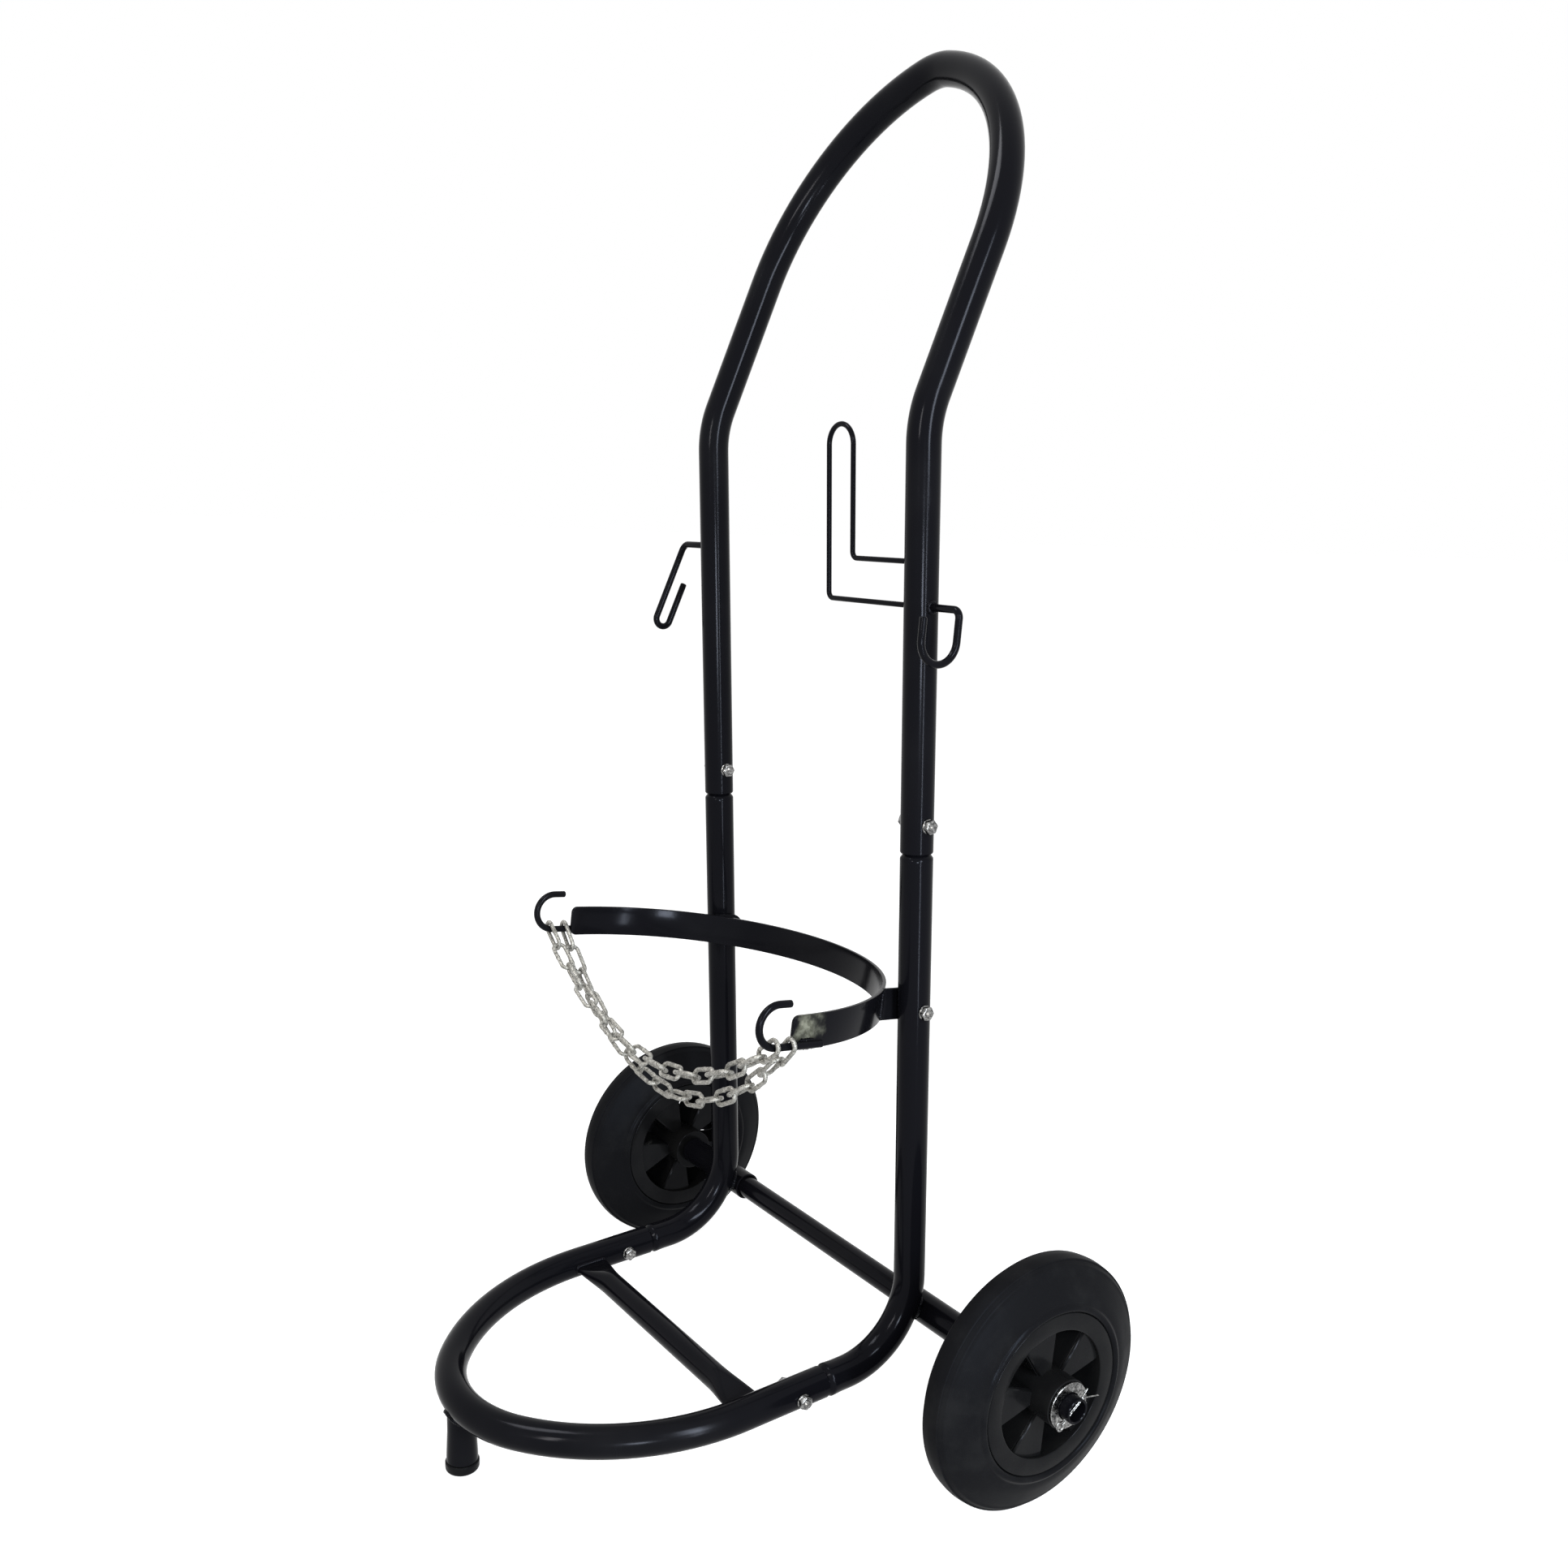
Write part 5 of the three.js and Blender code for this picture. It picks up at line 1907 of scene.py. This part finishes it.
@dataclass
class Studio:
    """A pale floor, soft lamps and the camera."""

    eye: tuple[float, float, float] = (955.9, -599.95, 715.8)
    yaw: float = 54.36
    pitch: float = 12.9
    roll: float = 1.94
    lens: float = 33.84
    shift: tuple[float, float] = (-0.0096, 0.0508)
    room_level: float = 0.5
    floor_paleness: float = 0.6
    floor_glow: float = 0.75

    def camera(self) -> None:
        """Puts the camera where the photograph was taken from."""
        yaw, pitch, roll = (radians(v) for v in (self.yaw, self.pitch, self.roll))
        back = Vector((sin(yaw) * cos(pitch), -cos(yaw) * cos(pitch), sin(pitch)))
        right = Vector((cos(yaw), sin(yaw), 0))
        up = back.cross(right)
        right, up = cos(roll) * right + sin(roll) * up, cos(roll) * up - sin(roll) * right
        data = bpy.data.cameras.new("studio_camera")
        camera = bpy.data.objects.new("studio_camera", data)
        bpy.context.scene.collection.objects.link(camera)
        turn = Matrix((right, up, back)).transposed().to_4x4()
        camera.matrix_world = Matrix.Translation(Vector(self.eye) * MM) @ turn
        data.sensor_width, data.lens = 36, self.lens
        data.shift_x, data.shift_y = self.shift
        data.clip_start, data.clip_end = 0.01, 100
        bpy.context.scene.camera = camera

    def lamp(self, name: str, spot: Sequence[float], aim: Sequence[float], size: tuple[float, float],
             power: float, colour: tuple[float, float, float]) -> None:
        """Hangs a soft rectangular lamp.

        Args:
            name: The lamp's name.
            spot: Its place, in metres.
            aim: What it points at, in metres.
            size: Its width and height, in metres.
            power: Its power in watts.
            colour: Its colour.
        """
        data = bpy.data.lights.new(name, "AREA")
        data.color = colour
        data.shape, data.size, data.size_y, data.energy = "RECTANGLE", *size, power
        lamp = bpy.data.objects.new(name, data)
        bpy.context.scene.collection.objects.link(lamp)
        lamp.location = spot
        lamp.rotation_euler = (Vector(aim) - Vector(spot)).to_track_quat("-Z", "Y").to_euler()

    def seen(self, tree: NodeTree) -> NodeSocket:
        """One for rays from the camera and for those that mirror or pass through, else zero.

        Args:
            tree: The tree of the world or of a material.

        Returns:
            The socket that says so.
        """
        path = tree.nodes.new("ShaderNodeLightPath").outputs
        total = path["Is Camera Ray"]
        for name in ("Is Glossy Ray", "Is Transmission Ray"):
            total = computed(tree, "MAXIMUM", total, path[name])
        return total

    def world(self) -> None:
        """A plain white room that lights at its own level and shows as white."""
        world = bpy.data.worlds.new("studio_room")
        world.use_nodes = True
        tree = world.node_tree
        ground = tree.nodes["Background"]
        ground.inputs["Color"].default_value = WHITE
        strength = computed(tree, "MULTIPLY_ADD", self.seen(tree), 1 - self.room_level, self.room_level)
        tree.links.new(strength, ground.inputs["Strength"])
        bpy.context.scene.world = world

    def floor(self) -> None:
        """A wide pale floor that shows white, and white in mirrors, but keeps the trolley's shadow."""
        deselect()
        bpy.ops.mesh.primitive_plane_add(size=400)
        floor = named("studio_floor")
        material = bpy.data.materials.new("pale_floor")
        material.use_nodes = True
        tree = material.node_tree
        inputs = tree.nodes["Principled BSDF"].inputs
        inputs["Roughness"].default_value = 0.95
        inputs["Specular IOR Level"].default_value = 0.0
        inputs["Emission Color"].default_value = WHITE
        mirrored = tree.nodes.new("ShaderNodeLightPath").outputs["Is Glossy Ray"]
        paleness = computed(tree, "MULTIPLY_ADD", mirrored, -self.floor_paleness, self.floor_paleness)
        extra = computed(tree, "MULTIPLY", mirrored, 1 - self.floor_glow)
        tree.links.new(paleness, inputs["Base Color"])
        tree.links.new(computed(tree, "MULTIPLY_ADD", self.seen(tree), self.floor_glow, extra),
                       inputs["Emission Strength"])
        floor.data.materials.append(material)

    def build(self) -> None:
        """Sets up the whole studio."""
        self.camera()
        self.world()
        self.floor()
        for name, spot, aim, size, power, colour in (
                ("side_window", (2.1, -0.1, 1.35), (0, 0, 0.75), (0.35, 1.2), 42, COOL),
                ("front_window", (0.85, -2.0, 1.35), (0, 0, 0.75), (0.25, 0.8), 14, WARM),
                ("side_strip", (1.1, -0.08, 0.36), (0.1, 0, 0.36), (0.06, 0.7), 4.2, COOL),
                ("low_window", (1.82, -0.94, 0.45), (0.28, 0.13, 0.1), (0.3, 0.3), 13, COOL),
                ("ceiling_lamp", (-0.6, -1.2, 3.0), (0, 0, 0.4), (0.9, 0.9), 34, NEUTRAL)):
            self.lamp(name, spot, aim, size, power, colour)
        bpy.context.scene.view_settings.view_transform = "Standard"


def main() -> None:
    """Builds the dressed trolley in its frame."""
    logging.basicConfig(level=logging.INFO, format="%(name)s: %(message)s")
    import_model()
    dresser = Dresser({
        Slot.COAT: PowderCoat().make(), Slot.HUB: MouldedPlastic("satin_hub_plastic").make(),
        Slot.CAP: MouldedPlastic("satin_plug_plastic", 0.004, 0.3).make(), Slot.ZINC: ZincPlate().make(),
        Slot.CHAIN: GalvanisedChain().make()})
    plan = Plan()
    tubes, band = TubeFrame(plan), Band(plan)
    for assembly in (tubes, Base(plan, tubes.nose), Axle(plan), *(Wheel(plan, side) for side in Side),
                     Fasteners(plan), band, Chain(plan, band), RodWork(plan)):
        assembly.build(dresser)
    Studio().build()
    deselect()
    LOG.info("%d pieces", dresser.count)


if __name__ == "__main__":
    main()
